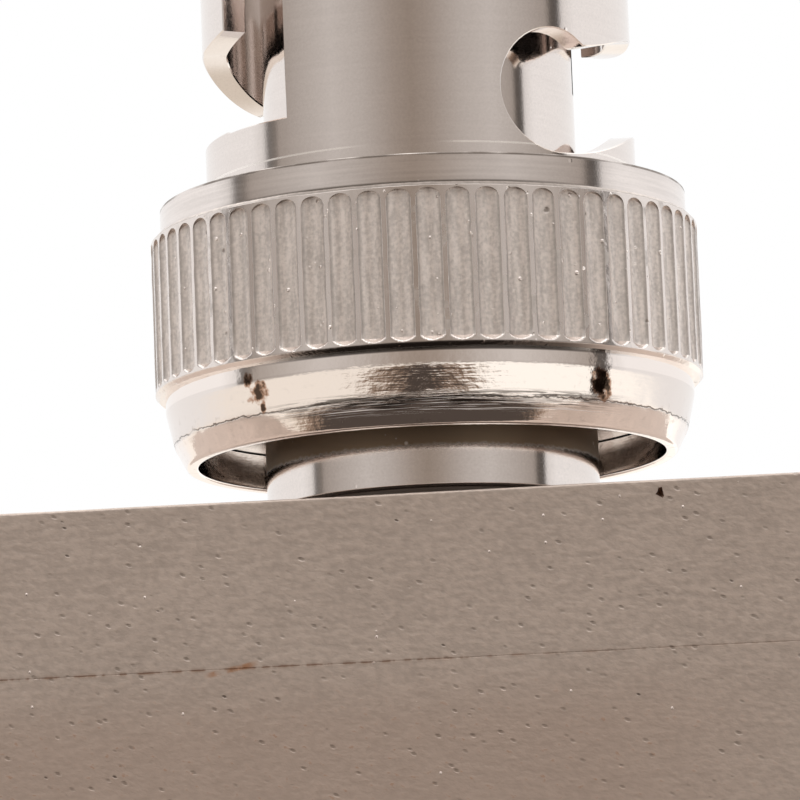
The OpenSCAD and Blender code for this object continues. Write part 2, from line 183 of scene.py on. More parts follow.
class SplitterPlug(bpy.types.PropertyGroup):
    """Sizes of the plug's body, contact and insulator."""

    spigot_r: length("Spigot radius", "Radius of the spigot in the block", 3.85)
    neck_h: length("Neck height", "Bare neck above the block", 0.5)
    shaft_r: length("Shaft radius", "Radius of the shaft", 4.27)
    flange_z: length("Flange height", "Height of the flange above the sleeve's rim", 2.58)
    flange_t: length("Flange thickness", "Thickness of the flange", 0.8)
    hub_r: length("Hub radius", "Radius of the hub in the gasket", 4.25)
    ferrule_r: length("Ferrule radius", "Outer radius of the ferrule", 4.025)
    ferrule_bore_r: length("Ferrule bore", "Inner radius of the ferrule", 3.4)
    bore_r: length("Rear bore", "Radius of the rear bore", 3.0)
    step_z: length("Bore step", "Height of the bore's step above the rim", 1.2)
    tip_bevel: length("Tip bevel", "Bevel at the ferrule's tip", 0.2)
    slit_w: length("Slit width", "Width of the ferrule's slits", 0.35)
    slit_l: length("Slit length", "Length of the ferrule's slits", 3.2)
    fingers: IntProperty(name="Fingers", description="Fingers of the ferrule", default=4, min=2, max=8)
    face_depth: length("Insulator face", "Depth of the insulator's face below its tip", 4.2)
    tube_r: length("Insulator tube", "Inner radius of the insulator's tube", 2.475)
    contact_r: length("Contact radius", "Radius of the contacts in their insulators", 1.05)
    pin_r: length("Pin radius", "Radius of the pin", 0.675)
    tail_r: length("Tail radius", "Radius of the contacts' tails", 0.6)
    seat_gap: length("Seat gap", "Radial gap of seated pieces", 0.02)
    washer_gap: length("Washer gap", "Radial gap between shaft and washer", 0.08)
    spring_t: length("Spring strip", "Thickness of the spring's strip", 0.25)
    spring_bore_r: length("Spring bore", "Inner radius of the spring", 4.8)
    waves: IntProperty(name="Waves", description="Waves of the spring", default=3, min=2, max=6)


class SplitterJack(bpy.types.PropertyGroup):
    """Sizes of a jack."""

    land_r: length("Land radius", "Radius of the guide land at the mouth", 4.825)
    barrel_r: length("Barrel radius", "Radius of the barrel behind the land", 4.645)
    bore_r: length("Bore radius", "Radius of the wide bore", 4.06)
    bore_h: length("Bore depth", "Depth of the wide bore", 8.4)
    seat_r: length("Seat radius", "Radius of the insulator's seat", 3.5)
    mouth_bevel: length("Mouth bevel", "Bevel around the mouth", 0.15)
    collar_h: length("Collar height", "Height of the collar at the block", 1.2)
    tail_r: length("Tail radius", "Radius of the tail in the block", 4.6)
    lug_r: length("Lug radius", "Radius of a bayonet lug", 1.0)
    lug_tip: length("Lug reach", "Distance of a lug's tip from the axis", 5.5)
    lug_bevel: length("Lug bevel", "Bevel at a lug's tip", 0.12)
    lug_z: length("Lug height", "Distance of the lugs from the mouth", 5.0)
    nose_r: length("Nose radius", "Radius of the insulator's nose", 2.375)
    socket_r: length("Socket radius", "Radius of the contact's socket", 0.7)
    socket_h: length("Socket depth", "Depth of the contact's socket", 5.5)
    slit_w: length("Slit width", "Width of the contact's slits", 0.25)
    slit_l: length("Slit length", "Length of the contact's slits", 4.0)


class SplitterFinish(bpy.types.PropertyGroup):
    """Colours of the finishes."""

    turned: colour("Turned nickel", "Polished plating on turned pieces", (0.79, 0.725, 0.69))
    fluted: colour("Fluted nickel", "Plating on the grainy flutes", (0.75, 0.685, 0.645))
    # Also, made lighter, the painted light on the lip's band and underside and the painted highlights on
    # the flutes' lower ends and the block's bright spots.
    lip: colour("Lip nickel", "Bright plating on the rolled lip", (0.80, 0.73, 0.69))
    cast: colour("Cast nickel", "Satin plating on the block", (0.63, 0.535, 0.475))
    # Also the fringe of the painted dark reflections on the lip.
    rust: colour("Seam stain", "Stain along the block's seam", (0.30, 0.13, 0.05))
    # Also the colour of the painted shade at the grip ring's edges, under it, in the lip's opening and on
    # the shaft's neck, and of the cores of the painted dark reflections on the lip.
    dark: colour("Dark marks", "Pits, scratches and smudges", (0.06, 0.045, 0.035))
    # Brown of the painted shade under the sleeve's lip, in a grimy tint.
    grime: colour("Grime", "Brown film under the sleeve's lip", (0.24, 0.165, 0.10))
    gold: colour("Gold", "Plating of the contacts", (0.83, 0.62, 0.28))
    insulator: colour("Insulator", "White insulator", (0.86, 0.84, 0.78))
    gasket: colour("Gasket", "Soft grey gasket", (0.10, 0.098, 0.095))
    spring: colour("Spring", "Steel of the wavy spring", (0.70, 0.67, 0.64))
    # Painted light: the washer's plating made paler than the other nickel.
    washer: colour("Washer", "Pale plating of the washer behind the lip", (0.96, 0.95, 0.94))
    floor: colour("Floor", "Pale floor", (0.86, 0.85, 0.84))


class SplitterStudio(bpy.types.PropertyGroup):
    """Camera and light."""

    camera_x: length("Camera X", "Place of the camera across the block", 12.69)
    camera_y: length("Camera Y", "Place of the camera before the block", -150.0)
    camera_z: length("Camera Z", "Height of the camera above the floor", 2.52)
    yaw: turn("Yaw", "Turn of the camera about the vertical", -5.13)
    pitch: turn("Pitch", "Upward tilt of the camera", 9.18)
    roll: turn("Roll", "Turn of the camera about its own axis", -2.26)
    lens: FloatProperty(name="Lens", description="Focal length in millimetres", default=266.7)
    floor_r: length("Floor radius", "Radius of the floor", 600.0)
    light_turn: turn("Light turn", "Turn of the studio's light to the right", 1.5)


# Points, strips and meshes

def around(radius, angle, height):
    """Point at an angle from the front towards the right, about the plug's axis."""
    return (radius * math.sin(angle), -radius * math.cos(angle), height)


def eased(outline, ease, closed=True, steps=3):
    """Outline of (radius, height) points with its corners rounded and held by a point on both sides."""
    count = len(outline)
    points = []
    for i, corner in enumerate(outline):
        if not closed and i in (0, count - 1):
            points.append(Vector(corner))
            continue
        corner = Vector(corner)
        before = Vector(outline[i - 1]) - corner
        after = Vector(outline[(i + 1) % count]) - corner
        reach = min(ease, 0.22 * before.length, 0.22 * after.length)
        start = corner + before.normalized() * reach
        end = corner + after.normalized() * reach
        points.append(corner + before.normalized() * 2 * reach)
        for k in range(steps + 1):
            t = k / steps
            points.append((1 - t) ** 2 * start + 2 * t * (1 - t) * corner + t**2 * end)
        points.append(corner + after.normalized() * 2 * reach)
    return [tuple(p) for p in points]


class Shell:
    """Points and faces of one mesh, gathered strip by strip."""

    def __init__(self):
        self.points = []
        self.faces = []
        self.marks = []

    def rows(self, rows, mark=0, wrap=False, close=False):
        """Quads between rows of equal length. Wrap joins a row's ends, close the last row to the first."""
        start, width = len(self.points), len(rows[0])
        for row in rows:
            self.points.extend(row)
        for i in range(len(rows) if close else len(rows) - 1):
            a, b = start + i * width, start + (i + 1) % len(rows) * width
            for j in range(width if wrap else width - 1):
                k = (j + 1) % width
                self.faces.append((a + j, a + k, b + k, b + j))
                self.marks.append(mark)

    def stitch(self, first, second):
        """Triangles between two closed rings of points, both ordered by their angle about the axis."""
        start, middle = len(self.points), len(self.points) + len(first)
        self.points.extend(first)
        self.points.extend(second)
        def angles(ring):
            return [math.atan2(p[1], p[0]) % FULL_TURN for p in ring]
        def ordered(ring, offset):
            found = sorted(zip(angles(ring), range(offset, offset + len(ring))))
            return found + [(found[0][0] + FULL_TURN, found[0][1])]
        one, two = ordered(first, start), ordered(second, middle)
        i = j = 0
        while i < len(first) or j < len(second):
            step_one = j == len(second) or (i < len(first) and one[i + 1][0] <= two[j + 1][0])
            third = one[i + 1][1] if step_one else two[j + 1][1]
            self.faces.append((one[i][1], third, two[j][1]))
            self.marks.append(0)
            i, j = (i + 1, j) if step_one else (i, j + 1)

    def chain(self, rings):
        """Stitches each closed ring to the next."""
        for first, second in zip(rings, rings[1:]):
            self.stitch(first, second)

    def face(self, corners):
        """One flat face."""
        start = len(self.points)
        self.points.extend(corners)
        self.faces.append(tuple(range(start, len(self.points))))
        self.marks.append(0)

    def mesh(self, name):
        """The gathered faces as a closed, outward mesh with smooth rounds and crisp corners."""
        mesh = bpy.data.meshes.new(name)
        mesh.from_pydata([tuple(p) for p in self.points], [], self.faces)
        mesh.polygons.foreach_set("material_index", self.marks)
        return tidied(mesh)


def settled(work, mesh):
    """Writes a bmesh into a mesh and frees it."""
    work.to_mesh(mesh)
    work.free()
    return mesh


def tidied(mesh, merge=0.0005 * MM, sharp=math.radians(38)):
    """Merges doubled points, turns faces outwards and sets smooth shading with sharp corners."""
    work = bmesh.new()
    work.from_mesh(mesh)
    bmesh.ops.remove_doubles(work, verts=work.verts, dist=merge)
    bmesh.ops.dissolve_degenerate(work, edges=work.edges, dist=merge)
    bmesh.ops.recalc_face_normals(work, faces=work.faces)
    settled(work, mesh)
    mesh.shade_smooth()
    mesh.set_sharp_from_angle(angle=sharp)
    return mesh


def lathe(outline, segments=192, x=0.0):
    """Closed shell of revolution about an upright axis at x."""
    shell = Shell()
    angles = np.arange(segments) * FULL_TURN / segments
    rows = [[(x + r * math.sin(a), -r * math.cos(a), z) for a in angles] for r, z in outline]
    shell.rows(rows, wrap=True, close=True)
    return shell


def ring_outline(r_in, r_out, z_low, z_high):
    """Outline of a plain ring, or of a cylinder where the inner radius is 0."""
    return [(r_in, z_low), (r_out, z_low), (r_out, z_high), (r_in, z_high)]


def evaluated(thing):
    """Plain mesh of an object with its modifiers applied."""
    bpy.context.view_layer.update()
    graph = bpy.context.evaluated_depsgraph_get()
    return bpy.data.meshes.new_from_object(thing.evaluated_get(graph))


def added(name, data):
    """New object in the scene that holds a mesh or a camera."""
    thing = bpy.data.objects.new(name, data)
    bpy.context.scene.collection.objects.link(thing)
    return thing


def carved(mesh, tools, operation="DIFFERENCE"):
    """Mesh after exact cuts by, or joins with, the tools' meshes."""
    thing = added("carving", mesh)
    helpers = []
    for tool in tools:
        helper = added("tool", tool)
        modifier = thing.modifiers.new("carve", "BOOLEAN")
        modifier.operation = operation
        modifier.solver = "EXACT"
        modifier.object = helper
        helpers.append(helper)
    result = evaluated(thing)
    for helper in [thing, *helpers]:
        bpy.data.objects.remove(helper)
    return tidied(result)


def box_mesh(centre, size, spin=0.0):
    """Plain box, turned about the upright axis through the origin."""
    work = bmesh.new()
    place = Matrix.Rotation(spin, 4, "Z") @ Matrix.Translation(centre) @ Matrix.Diagonal((*size, 1.0))
    bmesh.ops.create_cube(work, size=1.0, matrix=place)
    return settled(work, bpy.data.meshes.new("box"))


def piece(name, mesh, materials, body, node):
    """Finished piece that stands for a solid and rides on its body."""
    mesh.name = name
    marks = np.zeros(len(mesh.polygons), dtype=np.int32)
    mesh.polygons.foreach_get("material_index", marks)
    mesh.materials.clear()
    for material in materials:
        mesh.materials.append(material)
    mesh.polygons.foreach_set("material_index", np.minimum(marks, len(materials) - 1))
    thing = added(name, mesh)
    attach(thing, body)
    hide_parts(node)
    return thing


# Node trees

def connect(tree, value, socket):
    """Links a wire to a socket, or sets the socket to a plain value."""
    if isinstance(value, Wire):
        tree.links.new(value.socket, socket)
    else:
        socket.default_value = value


class Wire:
    """A socket of a node tree. Sums, differences and products of values add Math nodes."""

    def __init__(self, tree, socket=None):
        self.tree = tree
        self.socket = socket

    def node(self, kind, settings=None, sockets=None, output=0):
        """Adds a node, sets it up, then feeds its sockets with values or wires."""
        made = self.tree.nodes.new(kind)
        for key, value in (settings or {}).items():
            if key == "stops":
                ramp = made.color_ramp.elements
                while len(ramp) < len(value):
                    ramp.new(0.5)
                for element, (position, shade) in zip(ramp, value):
                    element.position = position
                    element.color = shade
            else:
                setattr(made, key, value)
        for key, value in (sockets or {}).items():
            connect(self.tree, value, made.inputs[key])
        return Wire(self.tree, made.outputs[output] if len(made.outputs) else None)

    def parts(self, kind="ShaderNodeSeparateXYZ"):
        """The three parts of a vector, or of a colour."""
        outputs = self.node(kind, None, {0: self}).socket.node.outputs
        return [Wire(self.tree, outputs[i]) for i in range(3)]

    def math(self, operation, *others):
        """Math node of this value and the others."""
        return self.node("ShaderNodeMath", {"operation": operation}, dict(enumerate((self, *others))))

    def __add__(self, other):
        return self.math("ADD", other)

    def __sub__(self, other):
        return self.math("SUBTRACT", other)

    def __rsub__(self, other):
        return self * -1.0 + other

    def __mul__(self, other):
        return self.math("MULTIPLY", other)

    def __truediv__(self, other):
        return self.math("DIVIDE", other)

    def __abs__(self):
        return self.math("ABSOLUTE")

    __radd__ = __add__
    __rmul__ = __mul__

    def smooth(self, low, high):
        """From 0 at low to 1 at high, or the other way round where high is the lower value."""
        return self.node(
            "ShaderNodeMapRange", {"interpolation_type": "SMOOTHSTEP"},
            {"Value": self, "From Min": low, "From Max": high},
        )

    def blend(self, first, second):
        """Colour between two, by this value."""
        return self.node("ShaderNodeMix", {"data_type": "RGBA"}, {0: self, 6: first, 7: second}, 2)

    def scaled(self, factor):
        """Colour or vector times a number."""
        return self.node("ShaderNodeVectorMath", {"operation": "SCALE"}, {0: self, "Scale": factor})

    def speckle(self, place, scale, detail=2.0, output=0):
        """Noise from 0 to 1 at a place, with scale repeats in a unit, as a value or a colour."""
        sockets = {"Vector": place, "Scale": scale, "Detail": detail}
        return self.node("ShaderNodeTexNoise", None, sockets, output)

    def cells(self, place, scale, output="Distance"):
        """Distance to, or colour of, the nearest of scattered points."""
        return self.node("ShaderNodeTexVoronoi", None, {"Vector": place, "Scale": scale}, output)

    def join(self, x, y, z):
        """Vector of three values."""
        return self.node("ShaderNodeCombineXYZ", None, {0: x, 1: y, 2: z})


class Finish:
    """A material under construction, with the surface's place in millimetres."""

    def __init__(self, name, metallic=1.0, axis_x=0.0):
        self.material = bpy.data.materials.new(name)
        self.material.use_nodes = True
        tree = self.material.node_tree
        self.shader = tree.nodes["Principled BSDF"]
        self.shader.inputs["Metallic"].default_value = metallic
        self.wire = Wire(tree)
        place = self.wire.node("ShaderNodeTexCoord", output="Object")
        self.place = place.scaled(1 / MM)
        self.x, self.y, self.z = self.place.parts()
        across = abs(self.x) - axis_x / MM if axis_x else self.x
        self.radius = (across * across + self.y * self.y).math("SQRT")
        self.side_x, self.side_y = across / self.radius, self.y / self.radius

    def feed(self, socket, value):
        """Gives one of the shader's sockets a wire or a plain value."""
        connect(self.wire.tree, value, self.shader.inputs[socket])

    def relief(self, height, depth):
        """Bump of a height from 0 to 1 that stands for a depth in metres."""
        bump = self.wire.node("ShaderNodeBump", None, {"Height": height, "Distance": depth})
        self.feed("Normal", bump)

    def lathe_lines(self, per_mm, around_scale=1.5, detail=3.0):
        """Fine lines around the axis, as a turning tool leaves them."""
        along = (self.z + self.radius) * per_mm
        where = self.wire.join(self.side_x * around_scale, self.side_y * around_scale, along)
        return self.wire.speckle(where, 1.0, detail)

    def streaks(self, across, along):
        """Noise with so many repeats in a level millimetre and in an upright one."""
        return self.wire.speckle(self.wire.join(self.x * across, self.y * across, self.z * along), 1.0, 3.0)

    def front(self):
        """1 on the sleeve's front, a little right of its middle, and 0 at its sides and behind."""
        return abs(self.side_x - 0.12).smooth(0.75, 0.4) * self.side_y.smooth(0.0, -0.3)

    def pits(self, scale, share, size, place=None):
        """Scattered spots of mixed size from 0 to 1: scale cells in a millimetre, a share of them used."""
        place = self.place if place is None else place
        near = self.wire.cells(place, scale)
        chance, mixed = self.wire.cells(place, scale, "Color").parts("ShaderNodeSeparateColor")[:2]
        reach = size * (0.35 + 0.65 * mixed)
        return near.smooth(reach, reach * 0.35) * chance.smooth(1 - share, 1 - share + 0.02)


def rgba(shade, factor=1.0):
    """Colour property as four values, lighter or darker by a factor."""
    return (*(min(c * factor, 1.0) for c in shade), 1.0)


def layered(shade, marks):
    """Colour with marks laid over it one after the other, each a mask and its tint."""
    for mask, tint in marks:
        shade = mask.blend(shade, tint)
    return shade


def turned_plating(finishes, name="turned_plating", axis_x=0.0, marks=None):
    """Polished plating with fine turning lines, a few nicks and the dull marks of one piece."""
    f = Finish(name, axis_x=axis_x)
    lines, brush = f.lathe_lines(13.0), f.lathe_lines(4.5, 4.0)
    nicks = f.pits(1.9, 0.3, 0.14)
    satin = f.wire.speckle(f.place, 16.0, 3.0)
    lined = f.radius.smooth(5.8, 6.6) * 0.75 + 0.25
    tone = (lines * 0.55 + brush * 0.45 - 0.5) * lined + satin * 0.3 + 0.35
    shade = tone.smooth(0.3, 0.7).blend(rgba(finishes.turned, 0.92), rgba(finishes.turned, 1.06))
    shade = (nicks * 0.8).blend(shade, rgba(finishes.turned, 1.28))
    roughness = 0.06 + 0.05 * lines * lined + 0.05 * satin
    for mask, tint in marks(f) if marks else ():
        shade = mask.blend(shade, tint)
        roughness = roughness + 0.35 * mask
    f.feed("Base Color", shade)
    f.feed("Roughness", roughness)
    f.relief(lines * lined * 0.4 + satin * 0.3 + nicks * 1.5, 0.0022 * MM)
    return f.material


def sleeve_plating(finishes, sleeve):
    """Turned plating with painted shade along the collar's lower edge at the front, just above the grip
    ring, a dark line at the collar's upper edge and one bright tool line.
    """
    ring_z, collar_z = (RIM_Z + sleeve.ring_top) / MM, (RIM_Z + sleeve.collar_top) / MM
    collar, tube = sleeve.collar_r / MM, sleeve.tube_r / MM
    line_rise = 0.52
    def marks(f):
        front = f.side_y.smooth(-0.66, -0.96)
        outside = f.radius.smooth(tube - 0.1, tube - 0.04)
        uneven = f.lathe_lines(2.0, 5.0).smooth(0.35, 0.6)
        # Painted shade: a darker line where the collar meets the grip ring, only on the front.
        ring_edge_shade = f.z.smooth(ring_z + 0.10, ring_z + 0.05) * f.radius.smooth(collar - 0.085, collar - 0.035)
        ring_edge_shade = ring_edge_shade * front
        at_collar = f.z.smooth(collar_z - 0.075, collar_z - 0.05) * uneven
        at_collar = at_collar * f.radius.smooth(collar - 0.185, collar - 0.135)
        tool_line = abs(f.z - collar_z - line_rise).smooth(0.035, 0.015) * outside
        tool_line = tool_line * (1 - f.side_y.smooth(-0.96, -0.995))
        return [
            (ring_edge_shade * 0.8, rgba(finishes.dark, 1.5)), (at_collar * 0.75, rgba(finishes.dark, 2.0)),
            (tool_line * 0.8, rgba(finishes.turned, 1.3)),
        ]
    return turned_plating(finishes, "sleeve_plating", marks=marks)


def shaft_plating(finishes, plug):
    """Turned plating of the plug's body, with painted shade in a grimy brown under the sleeve's lip and
    painted shade on the neck above the block.
    """
    rim_z, neck_z = RIM_Z / MM, (BLOCK_TOP + plug.neck_h) / MM
    def marks(f):
        ragged = 0.16 * (f.wire.speckle(f.place, 8.0, 3.0) - 0.5)
        # Painted shade: a grimy brown band on the shaft inside the sleeve's lip, with a ragged lower edge.
        grime = (f.z + ragged).smooth(rim_z - 0.30, rim_z - 0.12) * f.z.smooth(rim_z + 1.2, rim_z + 0.9)
        grains = f.pits(4.0, 0.3, 0.3) * f.z.smooth(rim_z - 0.5, rim_z - 0.2)
        # Painted shade: the bare neck between the block and the shaft darkened.
        neck = f.z.smooth(neck_z + 0.02, neck_z - 0.02) * f.z.smooth(neck_z - 0.7, neck_z - 0.6)
        return [
            (grime * 0.92, rgba(finishes.grime)), (grains * grime * 0.7, rgba(finishes.turned)),
            (neck * 0.9, rgba(finishes.dark)),
        ]
    return turned_plating(finishes, "shaft_plating", marks=marks)


def fluted_plating(finishes, sleeve):
    """Grainy flutes between smooth lands, with small bright and dark specks, lower ends lighter in colour
    as a painted highlight, floors darker near the lands as painted shade, and painted shade along the
    ring's edges at the front.
    """
    f = Finish("fluted_plating")
    ring_r = SLEEVE_HIGH.x / MM
    low = flute_ends(sleeve)[0] / MM
    grain = f.wire.speckle(f.place, 11.0, 3.0)
    worn = f.wire.speckle(f.place, 2.6, 3.0)
    land = (f.radius + 0.030 * (worn - 0.58)).smooth(ring_r - 0.016, ring_r - 0.002)
    # Painted shade: the flutes darker near their edges, next to the lands.
    edge = f.radius.smooth(ring_r - 0.07, ring_r - 0.02) * (1 - land)
    # Painted highlight: the flutes' lower ends lighter in colour, besides being smoother.
    point = f.z.smooth(low + 0.012, low - 0.008) * (1 - land)
    rear_z, front_z = (RIM_Z + sleeve.ring_bottom) / MM, (RIM_Z + sleeve.ring_top) / MM
    front = f.front()
    # Painted shade along the ring's rear and front edges, only on the front.
    rear_edge_shade = f.z.smooth(rear_z + 0.14, rear_z + 0.06) * front
    front_edge_shade = f.z.smooth(front_z - 0.11, front_z - 0.07) * front
    streak = f.streaks(7.0, 1.1)
    specks = f.pits(4.0, 0.6, 0.28) * worn.smooth(0.42, 0.58)
    holes = f.pits(2.2, 0.16, 0.22)
    tone = (grain * 0.5 + streak * 0.5).smooth(0.33, 0.67)
    shade = tone.blend(rgba(finishes.fluted, 0.86), rgba(finishes.fluted, 1.22))
    f.feed("Base Color", layered(shade, [
        (edge * 0.5, rgba(finishes.fluted, 0.45)),
        (land, rgba(finishes.lip, 0.97)),
        (point, rgba(finishes.lip, 1.1)),
        (specks * 0.9, rgba(finishes.lip, 1.25)),
        (holes * (1 - land) * 0.6, rgba(finishes.dark, 2.5)),
        (rear_edge_shade * 0.9, rgba(finishes.dark, 0.6)),
        (front_edge_shade * 0.6, rgba(finishes.dark, 2.0)),
    ]))
    f.feed("Roughness", 0.46 + 0.10 * grain - 0.34 * land - 0.32 * point - 0.28 * specks)
    rough = (1 - land * 0.85) * (grain * 0.7 + streak * 0.5)
    f.relief(rough + specks * 1.6 - holes * 1.6, 0.012 * MM)
    return f.material


def lip_plating(finishes, sleeve):
    """Bright plating of the rolled lip, scored along its corner and scuffed around it, with painted light
    on the band and underside, painted shade under the grip ring and in the opening, and painted dark
    reflections at the front.
    """
    f = Finish("lip_plating")
    corner_z, ring_z = (RIM_Z + sleeve.roll_bottom) / MM, (RIM_Z + sleeve.ring_bottom) / MM
    roll_z = (RIM_Z + sleeve.roll_top) / MM
    foot, rim = sleeve.foot_r / MM, sleeve.rim_r / MM
    slow = f.wire.speckle(f.place, 1.0, 2.0)
    jagged = f.wire.speckle(f.place, 4.5, 3.0)
    drag = f.lathe_lines(15.0, 7.0)
    front = f.front()
    outside = f.radius.smooth(foot - 0.1, foot)
    near_corner = abs(f.z - corner_z).smooth(0.26, 0.10) * outside
    course = f.z - corner_z - 0.03 - 0.16 * (jagged - 0.5) - 0.10 * (slow - 0.5)
    crack = abs(course).smooth(0.026, 0.010) * f.wire.speckle(f.place, 0.55).smooth(0.36, 0.46) * outside
    # Scoring along the corner at the front, darkened further as a painted dark reflection.
    scores_and_shade = drag.smooth(0.46, 0.56) * near_corner * front
    # Two ragged painted dark reflections with a rusty fringe, the left one of three parts: place, height
    # above the corner, half sizes
    places = [
        (-3.80, 0.54, 0.29, 0.28), (-3.69, 0.22, 0.08, 0.22), (-4.05, 0.92, 0.14, 0.22),
        (4.70, 0.44, 0.26, 0.40),
    ]
    painted_reflection = None
    for x, rise, half_w, half_h in places:
        off_x, off_z = (f.x - x) / half_w, (f.z - corner_z - rise) / half_h
        away = off_x * off_x + off_z * off_z + (jagged - 0.5) * 3.0 + f.y.smooth(-1.0, 0.0) * 9.0
        painted_reflection = painted_reflection.math("MINIMUM", away) if painted_reflection else away
    # Painted shade: the band darker just under the grip ring, on the front.
    shade_under_ring = f.z.smooth(ring_z - 0.10, ring_z - 0.05) * front
    scuffs = jagged.smooth(0.60, 0.70) * f.z.smooth(corner_z + 0.9, corner_z)
    # Painted shade on the wall of the rear opening, fading out towards the rim and above the corner's
    # height.
    inner = f.z.smooth(corner_z + 0.32, corner_z) * f.z.smooth(corner_z - 0.56, corner_z - 0.36)
    inner = inner * f.radius.smooth(rim + 0.12, rim + 0.04)
    scratch = f.lathe_lines(24.0, 3.0, detail=2.0)
    worn = scratch.smooth(0.55, 0.62) * abs(f.z - corner_z + 0.10).smooth(0.24, 0.12) * front * outside
    f.feed("Base Color", layered(rgba(finishes.lip), [
        # Painted light: the band above the roll and the underside below the corner are lighter in colour.
        (f.z.smooth(roll_z, roll_z + 0.05), rgba(finishes.lip, 1.12)),
        (f.z.smooth(corner_z, corner_z - 0.06), rgba(finishes.lip, 1.16)),
        (scuffs * 0.10, rgba(finishes.dark, 3.0)),
        (crack * 0.75, rgba(finishes.dark)),
        (scores_and_shade * 0.85, rgba(finishes.dark, 0.8)),
        (shade_under_ring * 0.9, rgba(finishes.dark, 0.6)),
        (painted_reflection.smooth(1.2, 0.5) * 0.8, rgba(finishes.rust)),
        (painted_reflection.smooth(0.7, 0.2) * 0.9, rgba(finishes.dark, 0.5)),
        (inner * 0.85, rgba(finishes.dark, 2.0)),
        (worn * 0.7, rgba(finishes.lip)),
    ]))
    f.feed("Metallic", 1.0 - 0.65 * worn)
    f.feed("Roughness", 0.04 + 0.05 * drag + 0.12 * scuffs + 0.1 * near_corner)
    dragged = drag * (0.15 + 0.45 * front + 1.4 * near_corner * front)
    f.relief(jagged * (0.6 + 0.9 * front) + dragged - scores_and_shade * 0.4 - crack * 0.6, 0.0055 * MM)
    return f.material


def cast_plating(finishes, block):
    """Satin plated casting with pits, bright spots whose lighter colour is a painted highlight, faint
    streaks, a stained seam and a slow mottle.
    """
    f = Finish("cast_plating")
    seam_z, face_y = SEAM_Z / MM, CAP_LOW.y / MM
    front = f.y.smooth(face_y + 0.5, face_y + 0.2)
    grain = f.wire.speckle(f.place, 7.0, 4.0)
    mottle = f.wire.speckle(f.place, 0.45, 2.0)
    streak = f.streaks(1.6, 8.0)
    leaning = f.wire.join(f.x * 0.57 + f.z * 0.17, f.y, f.z * 0.93 + f.x * 0.17)
    flecks = f.wire.speckle(leaning, 8.0, 4.0)
    pits = f.pits(3.9, 0.7, 0.29, leaning)
    holes = f.pits(2.1, 0.35, 0.15, leaning)
    # Painted highlight: small spots given a much lighter colour, besides being smoother and raised.
    painted_glints = f.pits(2.1, 0.3, 0.15)
    broken = f.wire.speckle(f.wire.join(f.x * 3.2, f.y * 3.2, 3.0), 1.0, 3.0)
    faded = f.x.smooth(8.0, -3.0) * 0.7 + 0.3
    seam = abs(f.z - seam_z - 0.05 * (mottle - 0.5)).smooth(0.028, 0.010)
    rusty = abs(f.z - seam_z).smooth(0.09, 0.02) * broken.smooth(0.40, 0.62) * front
    stain_x, stain_z = f.x + 4.6, f.z - seam_z + 0.02
    stain = abs(stain_z - stain_x * 0.2).smooth(0.10, 0.03) * abs(stain_x).smooth(0.75, 0.35)
    stain = stain * f.wire.speckle(f.place, 3.0, 3.0).smooth(0.3, 0.55) * front
    chip_x, chip_z = f.x - block.chip_x / MM, f.z - (BLOCK_TOP - block.chip_drop) / MM
    chip = (chip_x * chip_x + chip_z * chip_z).smooth(0.08, 0.06) * chip_z.smooth(0.24, 0.21)
    chip = chip * f.y.smooth(face_y + 0.014, face_y + 0.026) * front
    tone = (grain * 0.2 + streak * 0.3 + mottle * 0.1 + flecks * 0.4).smooth(0.36, 0.64)
    shade = tone.blend(rgba(finishes.cast, 0.86), rgba(finishes.cast, 1.10))
    ruddy = f.z.smooth(seam_z + 0.3, seam_z - 2.0) * f.x.smooth(11.0, 4.0)
    ruddy_tint = (*(c * k for c, k in zip(finishes.cast, (0.86, 0.78, 0.74))), 1.0)
    f.feed("Base Color", layered(shade, [
        (ruddy * 0.5, ruddy_tint),
        (flecks.smooth(0.62, 0.70) * ruddy * 0.35, rgba(finishes.rust, 1.5)),
        (stain * 0.7, rgba(finishes.rust, 1.6)),
        (rusty * faded * 0.30, rgba(finishes.rust, 0.8)),
        (seam * broken.smooth(0.40, 0.55) * faded * 0.5, rgba(finishes.rust, 0.7)),
        (pits * 0.30 + holes * 0.7, rgba(finishes.dark)),
        (chip * 0.7, rgba(finishes.rust, 0.6)),
        (painted_glints * 0.8, rgba(finishes.lip, 1.25)),
    ]))
    f.feed("Roughness", 0.42 + 0.10 * grain - 0.30 * painted_glints - 0.08 * pits)
    uneven = grain * 0.30 + flecks * 0.8 + streak * 0.15 - pits * 0.42 - holes * 0.5 + painted_glints * 0.6
    f.relief(uneven - seam * 0.1, 0.022 * MM)
    return f.material


def clouded(name, tint, metallic, scale, detail, dark, light, rough, spread):
    """Plain finish that is clouded between a darker and a lighter tint. Returns it with its cloud."""
    f = Finish(name, metallic)
    cloud = f.wire.speckle(f.place, scale, detail)
    f.feed("Base Color", cloud.smooth(0.3, 0.7).blend(rgba(tint, dark), rgba(tint, light)))
    f.feed("Roughness", rough + spread * cloud)
    return f, cloud


def gold_plating(finishes):
    """Polished gold plating with a faint grain."""
    f, _ = clouded(
        "gold_plating", finishes.gold, metallic=1.0, scale=1.2, detail=2.0,
        dark=0.92, light=1.05, rough=0.16, spread=0.12,
    )
    f.relief(f.wire.speckle(f.place, 8.0), 0.001 * MM)
    return f.material


def lightened_plating(finishes):
    """Plating of the washer behind the lip, made paler and brighter than the other nickel as painted light.
    """
    f, cloud = clouded(
        "lightened_plating", finishes.washer, metallic=0.9, scale=1.2, detail=3.0,
        dark=0.95, light=1.0, rough=0.10, spread=0.06,
    )
    f.relief(cloud, 0.002 * MM)
    return f.material


